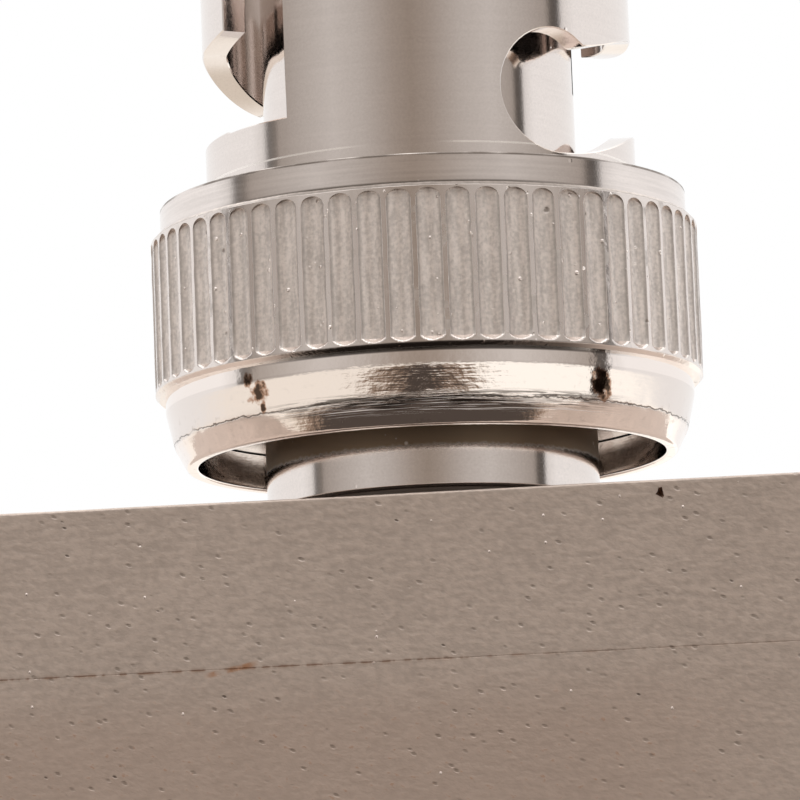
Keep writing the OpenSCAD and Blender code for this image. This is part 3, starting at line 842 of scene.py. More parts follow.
def steel_strip(finishes):
    """Satin steel of the spring."""
    f, _ = clouded(
        "steel_strip", finishes.spring, metallic=1.0, scale=0.8, detail=2.0,
        dark=0.94, light=1.05, rough=0.16, spread=0.10,
    )
    f.relief(f.lathe_lines(9.0), 0.001 * MM)
    return f.material


def insulator_white(finishes):
    """Moulded insulator, slightly waxy and uneven."""
    f, _ = clouded(
        "insulator_white", finishes.insulator, metallic=0.0, scale=0.9, detail=3.0,
        dark=0.94, light=1.0, rough=0.38, spread=0.15,
    )
    f.relief(f.wire.speckle(f.place, 6.0, 3.0), 0.004 * MM)
    return f.material


def gasket_grey(finishes):
    """Soft grey ring with a fine grain."""
    f, grain = clouded(
        "gasket_grey", finishes.gasket, metallic=0.0, scale=12.0, detail=3.0,
        dark=0.85, light=1.2, rough=0.62, spread=0.15,
    )
    f.relief(grain, 0.006 * MM)
    return f.material


def shared(maker):
    """Material with its maker's name, made when it is first asked for."""
    found = bpy.data.materials.get(maker.__name__)
    return found or maker(bpy.context.scene.splitter_finish)


# Block

def rounded_rectangle(half_x, half_y, corner, height, step=0.5 * MM, arc_steps=12):
    """Closed loop of points, counter-clockwise, with round corners."""
    loop = []
    corners = [(1, -1, -90), (1, 1, 0), (-1, 1, 90), (-1, -1, 180)]
    for sx, sy, start in corners:
        centre = Vector((sx * (half_x - corner), sy * (half_y - corner)))
        for k in range(arc_steps + 1):
            a = math.radians(start + 90 * k / arc_steps)
            loop.append((centre.x + corner * math.cos(a), centre.y + corner * math.sin(a), height))
        along = 2 * (half_x - corner) if start in (0, 180) else 2 * (half_y - corner)
        pieces = max(int(round(along / step)), 1)
        heading = Vector((-math.sin(math.radians(start + 90)), math.cos(math.radians(start + 90))))
        last = Vector(loop[-1][:2])
        for k in range(1, pieces):
            p = last + heading * along * k / pieces
            loop.append((p.x, p.y, height))
    return loop


def stadium(radius, height, arc_steps=24, straight_steps=12):
    """Closed loop with two round ends on the jacks' axes."""
    loop = []
    for side, start in ((1, -90), (-1, 90)):
        for k in range(arc_steps + 1):
            a = math.radians(start + 180 * k / arc_steps)
            loop.append((side * JACK_X + radius * math.cos(a), radius * math.sin(a), height))
        for k in range(1, straight_steps):
            x = side * JACK_X * (1 - 2 * k / straight_steps)
            loop.append((x, side * radius, height))
    return loop


def circle(radius, height, segments=96):
    """Closed ring of points about the plug's axis."""
    return [around(radius, FULL_TURN * k / segments, height) for k in range(segments)]


def waved(point, block):
    """Point of a cast face, moved out or in and up or down by slow waves."""
    x, y, z = point
    place = Vector(point) / block.wave_l
    elsewhere = place + Vector((7.0, 3.0, 1.0))
    side = block.wave * noise.noise(place)
    lift = block.wave * noise.noise(elsewhere)
    flat = Vector((x / CAP_HIGH.x, y / CAP_HIGH.y))
    if abs(flat.x) > abs(flat.y):
        return (x + side, y, z + lift)
    return (x, y + side, z + lift)


def wall_loops(block, z_low, z_high, round_low, round_high):
    """Loops of the block's outer wall, from its lower to its upper edge."""
    half_x, half_y = CAP_HIGH.x, CAP_HIGH.y
    edge, bevel, steps = block.edge_r, block.seam_bevel, 5
    row_h, margin = 0.4 * MM, 0.05 * MM
    loops = []
    def add(inset, height):
        loop = rounded_rectangle(half_x - inset, half_y - inset, block.corner_r - inset, height)
        loops.append([waved(p, block) for p in loop])
    def turn_edge(z, direction):
        found = []
        for k in range(steps + 1):
            a = math.radians(90 * k / steps)
            found.append((edge * (1 - math.sin(a)), z + direction * edge * (1 - math.cos(a))))
        return found
    lower = turn_edge(z_low, 1) if round_low else [(bevel, z_low), (0.0, z_low + bevel)]
    upper = turn_edge(z_high, -1)[::-1] if round_high else [(0.0, z_high - bevel), (bevel, z_high)]
    for inset, height in lower:
        add(inset, height)
    start, end = lower[-1][1], upper[0][1]
    rows = max(int((end - start) / row_h), 2)
    between = [start + (end - start) * k / rows for k in range(1, rows)]
    for height in (start + margin, *between, end - margin):
        add(0.0, height)
    for inset, height in upper:
        add(inset, height)
    return loops


def block_cap_mesh(block):
    """Upper part, with the spigot's hole, a hollow, and a rim that locates in the cavity."""
    loops = wall_loops(block, SEAM_Z, BLOCK_TOP, False, True)
    hollow = SEAM_Z + block.hollow_h
    rim_r = block.cavity_r - block.rim_gap
    inner_r = rim_r - block.rim_wall
    shell = Shell()
    shell.rows(loops, wrap=True)
    shell.chain([
        loops[-1], circle(block.spigot_hole_r, BLOCK_TOP), circle(block.spigot_hole_r, hollow),
        stadium(inner_r, hollow), stadium(inner_r, CAP_LOW.z), stadium(rim_r, CAP_LOW.z),
        stadium(rim_r, SEAM_Z), loops[0],
    ])
    return carved(shell.mesh("block_cap"), [chip_tool(block)])


def chip_tool(block):
    """Ragged point that knocks a chip out of the front face, just under its top edge."""
    size, middle_z = block.chip_size, BLOCK_TOP - block.chip_drop
    before, depth = 0.05 * MM, 0.45 * size
    outline = [(0.18, 0.5), (-0.14, 0.44), (-0.22, 0.12), (-0.42, -0.14), (0.22, -0.5), (0.36, -0.4)]
    points = [(block.chip_x + x * size, CAP_LOW.y - before, middle_z + z * size) for x, z in outline]
    points.append((block.chip_x, CAP_LOW.y + depth, middle_z))
    count = len(outline)
    sides = [(k, count, (k + 1) % count) for k in range(count)]
    mesh = bpy.data.meshes.new("chip")
    mesh.from_pydata(points, [], [tuple(range(count)), *sides])
    return tidied(mesh)


def block_base_mesh(block):
    """Lower part, with the cavity and the two holes for the jacks."""
    loops = wall_loops(block, BASE_LOW.z, SEAM_Z, True, False)
    floor = SEAM_Z - block.cavity_floor
    shell = Shell()
    shell.rows(loops, wrap=True)
    rings = [loops[-1], stadium(block.cavity_r, SEAM_Z), stadium(block.cavity_r, floor)]
    shell.chain(rings)
    # A small disc in the middle closes the cavity's floor and the underside
    for ring in (rings[-1], loops[0]):
        middle = circle(1.0 * MM, ring[0][2], 24)
        shell.stitch(ring, middle)
        shell.face(middle)
    drill = ring_outline(0.0, block.jack_hole_r, BASE_LOW.z - CLEAR, floor + OVERCUT)
    tools = [lathe(drill, 96, side * JACK_X).mesh("drill") for side in (-1, 1)]
    return carved(shell.mesh("block_base"), tools)


class SPLITTER_OT_block(bpy.types.Operator):
    """Builds both parts of the cast block and finishes the bar inside it"""

    bl_idname = "splitter.block"
    bl_label = "Block"

    def execute(self, context):
        block = context.scene.splitter_block
        nickel = [cast_plating(context.scene.splitter_finish, block)]
        piece("cap_of_block", block_cap_mesh(block), nickel, "base", "block_cap")
        piece("base_of_block", block_base_mesh(block), nickel, "base", "block_base")
        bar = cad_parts["bridge_bar"].data
        bar.materials.clear()
        bar.materials.append(shared(gold_plating))
        return {"FINISHED"}


# Plug

def plug_body_mesh(plug):
    """Spigot, shaft, flange and hub, with the slit ferrule in front of them."""
    flange_z = RIM_Z + plug.flange_z
    flange_top = flange_z + plug.flange_t
    neck = BLOCK_TOP + plug.neck_h
    outline = [
        (plug.bore_r, BODY_LOW.z), (plug.spigot_r, BODY_LOW.z), (plug.spigot_r, neck),
        (plug.shaft_r, neck), (plug.shaft_r, flange_z), (BODY_HIGH.x, flange_z),
        (BODY_HIGH.x, flange_top), (plug.hub_r, flange_top), (plug.hub_r, GASKET_HIGH.z),
        (plug.ferrule_r, GASKET_HIGH.z), (plug.ferrule_r, BODY_HIGH.z - plug.tip_bevel),
        (plug.ferrule_r - plug.tip_bevel, BODY_HIGH.z), (plug.ferrule_bore_r, BODY_HIGH.z),
        (plug.ferrule_bore_r, RIM_Z + plug.step_z), (plug.bore_r, RIM_Z + plug.step_z),
    ]
    body = lathe(eased(outline, TURNED_EASE), 256).mesh("plug_body")
    size = (plug.ferrule_r - plug.ferrule_bore_r + CLEAR, plug.slit_w, plug.slit_l + CLEAR)
    wall_r = (plug.ferrule_r + plug.ferrule_bore_r) / 2
    middle = Vector((wall_r, 0.0, BODY_HIGH.z + (CLEAR - plug.slit_l) / 2))
    slits = [box_mesh(middle, size, FULL_TURN * i / plug.fingers) for i in range(plug.fingers)]
    return carved(body, slits)


def wave_spring_mesh(plug, steps=180):
    """Flat strip that waves around the shaft between the washer and the flange."""
    middle = (SPRING_LOW.z + SPRING_HIGH.z) / 2
    swing = (SPRING_HIGH.z - SPRING_LOW.z - plug.spring_t) / 2
    half_t = plug.spring_t / 2
    section = ring_outline(plug.spring_bore_r, SPRING_HIGH.x, -half_t, half_t)
    rows = []
    for i in range(steps):
        a = FULL_TURN * i / steps
        z = middle + swing * math.cos(plug.waves * a)
        rows.append([(r * math.cos(a), r * math.sin(a), z + rise) for r, rise in section])
    shell = Shell()
    shell.rows(rows, wrap=True, close=True)
    return shell.mesh("wave_spring")


def gasket_mesh(plug):
    """Soft ring around the hub."""
    outline = ring_outline(plug.hub_r + plug.seat_gap, GASKET_HIGH.x, GASKET_LOW.z, GASKET_HIGH.z)
    return lathe(eased(outline, SOFT_EASE, steps=5)).mesh("gasket")


def plug_insulator_mesh(plug):
    """Moulded core around the contact, with a tube in front of its face."""
    bore, seat = plug.contact_r + plug.seat_gap, plug.bore_r - plug.seat_gap
    face_z, step_z = INSULATOR_HIGH.z - plug.face_depth, RIM_Z + plug.step_z
    outline = [
        (bore, INSULATOR_LOW.z), (seat, INSULATOR_LOW.z), (seat, step_z), (INSULATOR_HIGH.x, step_z),
        (INSULATOR_HIGH.x, INSULATOR_HIGH.z), (plug.tube_r, INSULATOR_HIGH.z), (plug.tube_r, face_z),
        (bore, face_z),
    ]
    return lathe(eased(outline, MOULDED_EASE)).mesh("insulator")


def plug_pin_mesh(plug):
    """Pin with a round tip, a shank in the insulator and a tail in the bar."""
    tip_z = PIN_HIGH.z - plug.pin_r
    shank_top = INSULATOR_HIGH.z - plug.face_depth - plug.seat_gap
    outline = [
        (0.0, PIN_LOW.z), (plug.tail_r, PIN_LOW.z), (plug.tail_r, BAR_HIGH.z),
        (plug.contact_r, BAR_HIGH.z), (plug.contact_r, shank_top), (plug.pin_r, shank_top),
    ]
    for degrees in range(0, 91, 10):
        a = math.radians(degrees)
        outline.append((plug.pin_r * math.cos(a), tip_z + plug.pin_r * math.sin(a)))
    return lathe(outline, 96).mesh("pin")


def washer_mesh(plug):
    """Flat washer behind the sleeve's lip."""
    bore = plug.shaft_r + plug.washer_gap
    outline = ring_outline(bore, WASHER_HIGH.x, WASHER_LOW.z, WASHER_HIGH.z)
    return lathe(eased(outline, TURNED_EASE), 256).mesh("washer")


class SPLITTER_OT_plug(bpy.types.Operator):
    """Turns the plug's body, its insulator, pin and gasket, and the spring and washer behind it"""

    bl_idname = "splitter.plug"
    bl_label = "Plug"

    def execute(self, context):
        plug = context.scene.splitter_plug
        nickel = [shaft_plating(context.scene.splitter_finish, plug)]
        piece("plug_shaft", plug_body_mesh(plug), nickel, "base", "plug_body")
        piece("gasket", gasket_mesh(plug), [shared(gasket_grey)], "base", "plug_gasket")
        core = plug_insulator_mesh(plug)
        piece("insulator", core, [shared(insulator_white)], "base", "plug_insulator")
        piece("centre_pin", plug_pin_mesh(plug), [shared(gold_plating)], "base", "plug_pin")
        strip = wave_spring_mesh(plug)
        spring = piece("spring", strip, [shared(steel_strip)], "base", "wave_spring")
        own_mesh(spring)
        washer = washer_mesh(plug)
        piece("washer", washer, [shared(lightened_plating)], "thrust_ring", "thrust_washer")
        return {"FINISHED"}


# Coupling sleeve

def flute_edge(sleeve):
    """Angle from a flute's middle to its edge."""
    out = sleeve.flute_r - sleeve.flute_depth
    return math.sqrt(sleeve.flute_r**2 - out**2) / SLEEVE_HIGH.x


def flute_offsets(sleeve):
    """Angles of the mesh lines in one flute's share of the ring, from land to land."""
    pitch = FULL_TURN / sleeve.flutes
    edge = flute_edge(sleeve)
    half = [edge * share for share in (0.25, 0.5, 0.7, 0.86, 1.0)] + [(edge + pitch / 2) / 2]
    return [-pitch / 2, *[-a for a in reversed(half)], 0.0, *half]


def flute_ends(sleeve):
    """Heights at which a flute's full width starts and ends."""
    low = RIM_Z + sleeve.ring_bottom + sleeve.flute_margin + sleeve.flute_depth
    return low, RIM_Z + sleeve.ring_top - sleeve.flute_stop


def flute_radius(sleeve, angle, z):
    """Radius of the ring at an angle from a flute's middle, after a cutter with a pointed end."""
    ring_r = SLEEVE_HIGH.x
    axis_r = ring_r - sleeve.flute_depth + sleeve.flute_r
    low, high = flute_ends(sleeve)
    cutter = max(sleeve.flute_r - max(low - z, 0.0), 0.0)
    room = cutter**2 - (axis_r * math.sin(angle)) ** 2
    if z >= high or room <= 0:
        return ring_r
    return min(ring_r, axis_r * math.cos(angle) - math.sqrt(room))


def arched(sleeve, angle, z):
    """Height of a point of a flute whose upper end is a round arch between the lands."""
    low, high = flute_ends(sleeve)
    if not low < z <= high:
        return z
    across = min(abs(angle) / flute_edge(sleeve), 1.0)
    drop = sleeve.flute_arch * (1 - math.sqrt(1 - across**2))
    return z - drop * (z - low) / (high - low)


def flute_sector_mesh(sleeve):
    """One flute with half a land on each side, from the band below the ring to the collar above it."""
    z_low, z_high = RIM_Z + sleeve.ring_bottom, RIM_Z + sleeve.ring_top
    ring_r, bevel = SLEEVE_HIGH.x, sleeve.ring_bevel
    low, high = flute_ends(sleeve)
    wall_rise = 0.004 * MM
    heights = [z_low + bevel, *np.linspace(low - sleeve.flute_depth, low, 7)]
    heights += [*np.linspace(low, high - wall_rise, 13)[1:], high, z_high - bevel]
    pitch = FULL_TURN / sleeve.flutes
    angles = [*flute_offsets(sleeve), pitch / 2]
    rows = [[around(sleeve.band_r, a, z_low) for a in angles]]
    rows.append([around(ring_r - bevel, a, z_low) for a in angles])
    for z in heights:
        rows.append([around(flute_radius(sleeve, a, z), a, arched(sleeve, a, z)) for a in angles])
    rows.append([around(ring_r - bevel, a, z_high) for a in angles])
    rows.append([around(sleeve.collar_r, a, z_high) for a in angles])
    shell = Shell()
    shell.rows(rows)
    return shell.mesh("flute")


def flute_ring_tree():
    """Geometry nodes: one flute repeated around the axis, with edges that wander a little."""
    tree = bpy.data.node_groups.new("flute_ring", "GeometryNodeTree")
    sockets = tree.interface.new_socket
    sockets("Flute", in_out="INPUT", socket_type="NodeSocketGeometry")
    kinds = {"Count": "Int", "Wander": "Float", "Inner radius": "Float", "Finish": "Material"}
    inputs = {
        name: sockets(name, in_out="INPUT", socket_type=f"NodeSocket{kind}") for name, kind in kinds.items()
    }
    sockets("Ring", in_out="OUTPUT", socket_type="NodeSocketGeometry")
    wire = Wire(tree)
    flute = wire.node("NodeGroupInput")
    given = {name: Wire(tree, flute.socket.node.outputs[name]) for name in inputs}
    index = wire.node("GeometryNodeInputIndex")
    spin = index * FULL_TURN / given["Count"]
    spots = wire.node("GeometryNodePoints", None, {"Count": given["Count"]})
    copies = wire.node(
        "GeometryNodeInstanceOnPoints", None,
        {"Points": spots, "Instance": flute, "Rotation": wire.join(0.0, 0.0, spin)},
    )
    real = wire.node("GeometryNodeRealizeInstances", None, {"Geometry": copies})
    merged = wire.node("GeometryNodeMergeByDistance", None, {"Geometry": real, "Distance": 0.001 * MM})
    place = wire.node("GeometryNodeInputPosition")
    flat = wire.node("ShaderNodeVectorMath", {"operation": "MULTIPLY"}, {0: place, 1: (1.0, 1.0, 0.0)})
    radius = wire.node("ShaderNodeVectorMath", {"operation": "LENGTH"}, {0: flat}, "Value")
    wobble = wire.speckle(place, WANDER_SCALE, output="Color")
    wobble = wire.node("ShaderNodeVectorMath", {"operation": "SUBTRACT"}, {0: wobble, 1: (0.5, 0.5, 0.5)})
    reach = radius.smooth(given["Inner radius"], given["Inner radius"] + WANDER_FADE) * given["Wander"]
    shifted = wire.node(
        "GeometryNodeSetPosition", None, {"Geometry": merged, "Offset": wobble.scaled(reach)}
    )
    finished = wire.node(
        "GeometryNodeSetMaterial", None, {"Geometry": shifted, "Material": given["Finish"]}
    )
    wire.node("NodeGroupOutput", None, {"Ring": finished})
    return tree, inputs


def flute_ring_mesh(sleeve, material):
    """The whole ring of flutes as one plain mesh."""
    tree, inputs = flute_ring_tree()
    thing = added("flutes", flute_sector_mesh(sleeve))
    modifier = thing.modifiers.new("flutes", "NODES")
    modifier.node_group = tree
    values = {
        "Count": sleeve.flutes, "Wander": sleeve.flute_wander,
        "Inner radius": SLEEVE_HIGH.x - sleeve.ring_bevel - WANDER_FADE, "Finish": material,
    }
    for name, value in values.items():
        modifier[inputs[name].identifier] = value
    mesh = evaluated(thing)
    bpy.data.objects.remove(thing)
    return mesh


class Slot:
    """Outline of a bayonet slot, in turns from its detent and heights above the collar."""

    def __init__(self, sleeve, wall_steps=14):
        self.s = sleeve
        self.top = SLEEVE_HIGH.z - RIM_Z - sleeve.collar_top
        self.tip = sleeve.slot_sweep - sleeve.entry_sweep
        self.wall_steps = wall_steps
        self.ramp_steps = 44
        self.arc_steps = 22
        self.entry_steps = 12
        self.plain_steps = 72

    def rear(self, t):
        """Height of the slot's rear edge at a turn from the detent."""
        share = min(t / self.s.ramp_sweep, 1)
        return self.s.detent_gap + self.s.ramp_rise * (1 - math.cos(math.pi * share)) / 2

    def front(self, t):
        """Height of the slot's front edge, which spreads to the detent and rises to the tooth's tip."""
        to_detent = max(1 - t / self.s.ramp_sweep, 0)
        to_tip = max((t - self.s.ramp_sweep) / (self.tip - self.s.ramp_sweep), 0)
        spread = to_detent * (self.s.detent_r - self.s.ramp_w / 2)
        return self.rear(t) + self.s.ramp_w + spread + self.s.tooth_rise * to_tip**2

    def outline(self, radius):
        """Points (turn, height): down the tooth's wall, round the detent, up the entry's far wall."""
        s = self.s
        middle = s.detent_gap + s.detent_r
        def upper(t):
            across = radius * math.sin(t)
            arc = middle + math.sqrt(max(s.detent_r**2 - across**2, 0.0))
            return max(self.front(t), arc) if across < s.detent_r else self.front(t)
        tip_h, low_h = self.front(self.tip), self.rear(s.slot_sweep) - s.entry_drop
        points = [
            (self.tip, self.top + (tip_h - self.top) * k / self.wall_steps) for k in range(self.wall_steps)
        ]
        ramp = [self.tip * (1 - k / self.ramp_steps) for k in range(self.ramp_steps)]
        points += [(t, upper(t)) for t in ramp]
        for k in range(self.arc_steps + 1):
            a = math.radians(90 + 180 * k / self.arc_steps)
            points.append((math.asin(s.detent_r * math.cos(a) / radius), middle + s.detent_r * math.sin(a)))
        points += [(t, self.rear(t)) for t in reversed(ramp)]
        entry = [self.tip + s.entry_sweep * k / self.entry_steps for k in range(1, self.entry_steps + 1)]
        points += [(t, low_h) for t in entry]
        points += [
            (s.slot_sweep, low_h + (self.top - low_h) * k / self.wall_steps)
            for k in range(1, self.wall_steps + 1)
        ]
        return np.array(points)

    def pushed(self, radius, ease):
        """The outline moved into the metal by ease."""
        flat = self.outline(radius) * (radius, 1.0)
        ahead = np.diff(flat, axis=0)
        ahead /= np.linalg.norm(ahead, axis=1)[:, None]
        normal = np.stack([ahead[:, 1], -ahead[:, 0]], axis=1)
        before = np.vstack([normal[:1], normal])
        after = np.vstack([normal, normal[-1:]])
        mitre = before + after
        mitre /= np.maximum((mitre * before).sum(1), 0.5)[:, None]
        moved = flat + ease * mitre
        moved[0, 1] = moved[-1, 1] = self.top
        return moved / (radius, 1.0)

    @property
    def marks(self):
        """Places in the outline of the tooth's tip, the detent's far left and the entry's far corner."""
        tip = self.wall_steps
        left = tip + self.ramp_steps + self.arc_steps // 2
        corner = tip + 2 * self.ramp_steps + self.arc_steps + self.entry_steps
        return tip, left, corner


def tube_surface(shell, slot, radius, ease, base_h, low_steps=8):
    """Outer or inner wall of the tube with its two slots. Returns the ring of points at its base."""
    tip, left, corner = slot.marks
    plain, edge = slot.outline(radius), slot.pushed(radius, ease)
    high_steps, top = slot.wall_steps, slot.top
    z0 = RIM_Z + slot.s.collar_top
    def point(t, h, half):
        return around(radius, slot.s.slot_turn + t + half * math.pi, z0 + h)
    def low_column(t, h, half):
        return [point(t, base_h + (h - base_h) * i / low_steps, half) for i in range(low_steps + 1)]
    def high_column(t, h_edge, h_plain, half):
        heights = [h_plain + (top - h_plain) * i / high_steps for i in range(1, high_steps + 1)]
        return [point(t, h, half) for h in (h_edge, *heights)]
    base_ring = []
    for half in (0, 1):
        lower = [low_column(*edge[k], half) for k in range(left, corner + 1)]
        upper = [high_column(*edge[k], plain[k][1], half) for k in range(left, tip - 1, -1)]
        span = math.pi + edge[left][0] - edge[corner][0]
        whole = []
        for m in range(slot.plain_steps + 1):
            share = m / slot.plain_steps
            t = edge[corner][0] + span * share
            h_edge = edge[corner][1] + (edge[left][1] - edge[corner][1]) * share
            h_plain = plain[corner][1] + (plain[left][1] - plain[corner][1]) * share
            whole.append(low_column(t, h_edge, half) + high_column(t, h_edge, h_plain, half)[1:])
        for grid in (lower, upper, whole):
            shell.rows(grid)
        base_ring += [c[0] for c in lower[:-1]] + [c[0] for c in whole[:-1]]
    return base_ring


def slot_walls(shell, slot, ease):
    """Cut faces of both slots, with a fine bevel on each edge."""
    s = slot.s
    z0 = RIM_Z + s.collar_top
    lines = [
        (s.tube_r, slot.pushed(s.tube_r, ease)), (s.tube_r - ease, slot.outline(s.tube_r - ease)),
        (s.bore_r + ease, slot.outline(s.bore_r + ease)), (s.bore_r, slot.pushed(s.bore_r, ease)),
    ]
    for half in (0, 1):
        turn_by = s.slot_turn + half * math.pi
        shell.rows([[around(r, turn_by + t, z0 + h) for t, h in line] for r, line in lines])


def tube_front(shell, slot):
    """Front face of the tube, between the slots' entries."""
    s = slot.s
    tip, left, corner = slot.marks
    edges = [(r, slot.pushed(r, s.ease)) for r in (s.tube_r, s.bore_r)]
    walls = [(r, slot.outline(r)) for r in (s.tube_r - s.ease, s.bore_r + s.ease)]
    def point(radius, t, half):
        return around(radius, s.slot_turn + t + half * math.pi, SLEEVE_HIGH.z)
    for half in (0, 1):
        rows = []
        for radius, edge in edges:
            span = math.pi + edge[left][0] - edge[corner][0]
            turns = [edge[corner][0] + span * m / slot.plain_steps for m in range(slot.plain_steps)]
            turns += [math.pi + edge[k][0] for k in range(left, tip - 1, -1)]
            rows.append([point(radius, t, half) for t in turns])
        shell.rows(rows)
        starts = [point(r, wall[corner][0], half) for r, wall in walls]
        ends = [point(r, math.pi + wall[tip][0], half) for r, wall in walls]
        for at, (outer, inner) in ((0, starts), (-1, ends)):
            shell.face([rows[0][at], outer, inner, rows[1][at]])


def scuffed(sleeve, r, angle, z):
    """Point of the lip, dented a little where it has been knocked."""
    corner = RIM_Z + sleeve.roll_bottom
    reach, knock_size, bend_size = 0.35 * MM, 0.55 * MM, 2.6 * MM
    close = max(0.0, 1 - abs(z - corner) / reach)
    place = Vector(around(r, angle, z))
    knock = max(0.0, noise.noise(place / knock_size) - 0.05)
    bend = noise.noise(place / bend_size)
    r -= sleeve.scuff * close * (0.8 * knock + 0.12 * bend)
    return around(r, angle, z + sleeve.scuff * close * 0.5 * knock)


def coupling_sleeve_mesh(sleeve, materials):
    """Tube with slots, collar, fluted ring, band and rolled lip as one closed mesh."""
    shell = Shell()
    slot = Slot(sleeve)
    z_collar, z_shoulder = RIM_Z + sleeve.collar_top, RIM_Z + sleeve.shoulder
    pitch = FULL_TURN / sleeve.flutes
    angles = [i * pitch + a for i in range(sleeve.flutes) for a in flute_offsets(sleeve)]
    fillet = sleeve.fillet
    upper = [
        (sleeve.tube_r + fillet, z_collar), (sleeve.collar_r, z_collar),
        (sleeve.collar_r, RIM_Z + sleeve.ring_top),
    ]
    upper = eased(upper, sleeve.ease, closed=False)
    rows = [[around(r, a, z) for a in angles] for r, z in upper]
    shell.rows(rows, wrap=True)
    outside = tube_surface(shell, slot, sleeve.tube_r, sleeve.ease, fillet)
    shell.stitch(outside, rows[0])
    lip = [
        (sleeve.band_r, RIM_Z + sleeve.ring_bottom), (sleeve.band_r, RIM_Z + sleeve.roll_top),
        (sleeve.roll_r, RIM_Z + sleeve.roll_bottom), (sleeve.foot_r, RIM_Z),
        (sleeve.rim_r, RIM_Z), (sleeve.rim_r, RIM_Z + sleeve.lip_h),
    ]
    lip = eased(lip, sleeve.lip_ease, closed=False, steps=5)
    lip_rows = [[scuffed(sleeve, r, a, z) for a in angles] for r, z in lip]
    shell.rows(lip_rows, 2, wrap=True)
    chamber = [
        (sleeve.rim_r, RIM_Z + sleeve.lip_h), (sleeve.chamber_r, RIM_Z + sleeve.lip_h),
        (sleeve.chamber_r, z_shoulder), (sleeve.bore_r + fillet, z_shoulder),
    ]
    chamber = eased(chamber, sleeve.ease, closed=False, steps=2)
    inner_rows = [[around(r, a, z) for a in angles] for r, z in chamber]
    shell.rows(inner_rows, wrap=True)
    inside = tube_surface(
        shell, slot, sleeve.bore_r, sleeve.ease, z_shoulder + fillet - z_collar, low_steps=10
    )
    shell.stitch(inside, inner_rows[-1])
    slot_walls(shell, slot, sleeve.ease)
    tube_front(shell, slot)
    work = bmesh.new()
    work.from_mesh(shell.mesh("sleeve"))
    ring = flute_ring_mesh(sleeve, materials[1])
    before = len(work.faces)
    work.from_mesh(ring)
    work.faces.ensure_lookup_table()
    for face in work.faces[before:]:
        face.material_index = 1
    return tidied(settled(work, bpy.data.meshes.new("sleeve")), merge=0.001 * MM)


class SPLITTER_OT_sleeve(bpy.types.Operator):
    """Builds the coupling sleeve with its bayonet slots, flutes and rolled lip"""

    bl_idname = "splitter.sleeve"
    bl_label = "Coupling sleeve"

    def execute(self, context):
        sleeve, finishes = context.scene.splitter_sleeve, context.scene.splitter_finish
        materials = [make(finishes, sleeve) for make in (sleeve_plating, fluted_plating, lip_plating)]
        mesh = coupling_sleeve_mesh(sleeve, materials)
        piece("sleeve", mesh, materials, "coupling", "coupling_sleeve")
        return {"FINISHED"}


# Jacks

def jack_shell_mesh(jack, x):
    """Shell with guide land, barrel, collar, tail and two lugs."""
    land_h = jack.lug_z - jack.lug_r
    collar_r = (JACK_HIGH.x - JACK_LOW.x) / 2
    collar_z = BASE_LOW.z - jack.collar_h
    bevel = jack.mouth_bevel
    outline = [
        (jack.bore_r + bevel, 0.0), (jack.land_r - bevel, 0.0), (jack.land_r, bevel),
        (jack.land_r, land_h), (jack.barrel_r, land_h), (jack.barrel_r, collar_z),
        (collar_r, collar_z), (collar_r, BASE_LOW.z), (jack.tail_r, BASE_LOW.z),
        (jack.tail_r, JACK_HIGH.z), (jack.seat_r, JACK_HIGH.z), (jack.seat_r, jack.bore_h),
        (jack.bore_r, jack.bore_h), (jack.bore_r, bevel),
    ]
    shell = lathe(eased(outline, JACK_EASE), 224, x).mesh("jack_shell")
    lugs = []
    root = (jack.bore_r + jack.barrel_r) / 2
    lug = [
        (0.0, root), (jack.lug_r, root), (jack.lug_r, jack.lug_tip - jack.lug_bevel),
        (jack.lug_r - jack.lug_bevel, jack.lug_tip), (0.0, jack.lug_tip),
    ]
    for side in (0.0, math.pi):
        mesh = lathe(lug, 64).mesh("lug")
        place = Matrix.Translation((x, 0.0, jack.lug_z)) @ Matrix.Rotation(side, 4, "Z")
        mesh.transform(place @ Matrix.Rotation(math.radians(90), 4, "X"))
        lugs.append(mesh)
    return carved(shell, lugs, "UNION")


def jack_contact_mesh(jack, plug, x):
    """Socket with crossed slits at its mouth and a tail that passes the bar."""
    outline = [
        (0.0, CONTACT_LOW.z + jack.socket_h), (jack.socket_r, CONTACT_LOW.z + jack.socket_h),
        (jack.socket_r, CONTACT_LOW.z), (plug.contact_r, CONTACT_LOW.z), (plug.contact_r, BAR_LOW.z),
        (plug.tail_r, BAR_LOW.z), (plug.tail_r, CONTACT_HIGH.z), (0.0, CONTACT_HIGH.z),
    ]
    contact = lathe(outline, 96).mesh("contact")
    middle = Vector((0.0, 0.0, CONTACT_LOW.z + (jack.slit_l - CLEAR) / 2))
    size = (4 * plug.contact_r, jack.slit_w, jack.slit_l + CLEAR)
    mesh = carved(contact, [box_mesh(middle, size, spin) for spin in (0.0, math.pi / 2)])
    mesh.transform(Matrix.Translation((x, 0.0, 0.0)))
    return mesh


def jack_insulator_mesh(jack, plug, x):
    """Moulded core around the contact, with a thin nose towards the mouth."""
    bore, seat = plug.contact_r + plug.seat_gap, jack.seat_r - plug.seat_gap
    nose_z, top_z = JACK_INSULATOR_LOW.z, JACK_INSULATOR_HIGH.z
    outline = [
        (bore, nose_z), (jack.nose_r, nose_z), (jack.nose_r, jack.bore_h), (seat, jack.bore_h),
        (seat, top_z), (bore, top_z),
    ]
    return lathe(eased(outline, MOULDED_EASE), 128, x).mesh("jack_insulator")


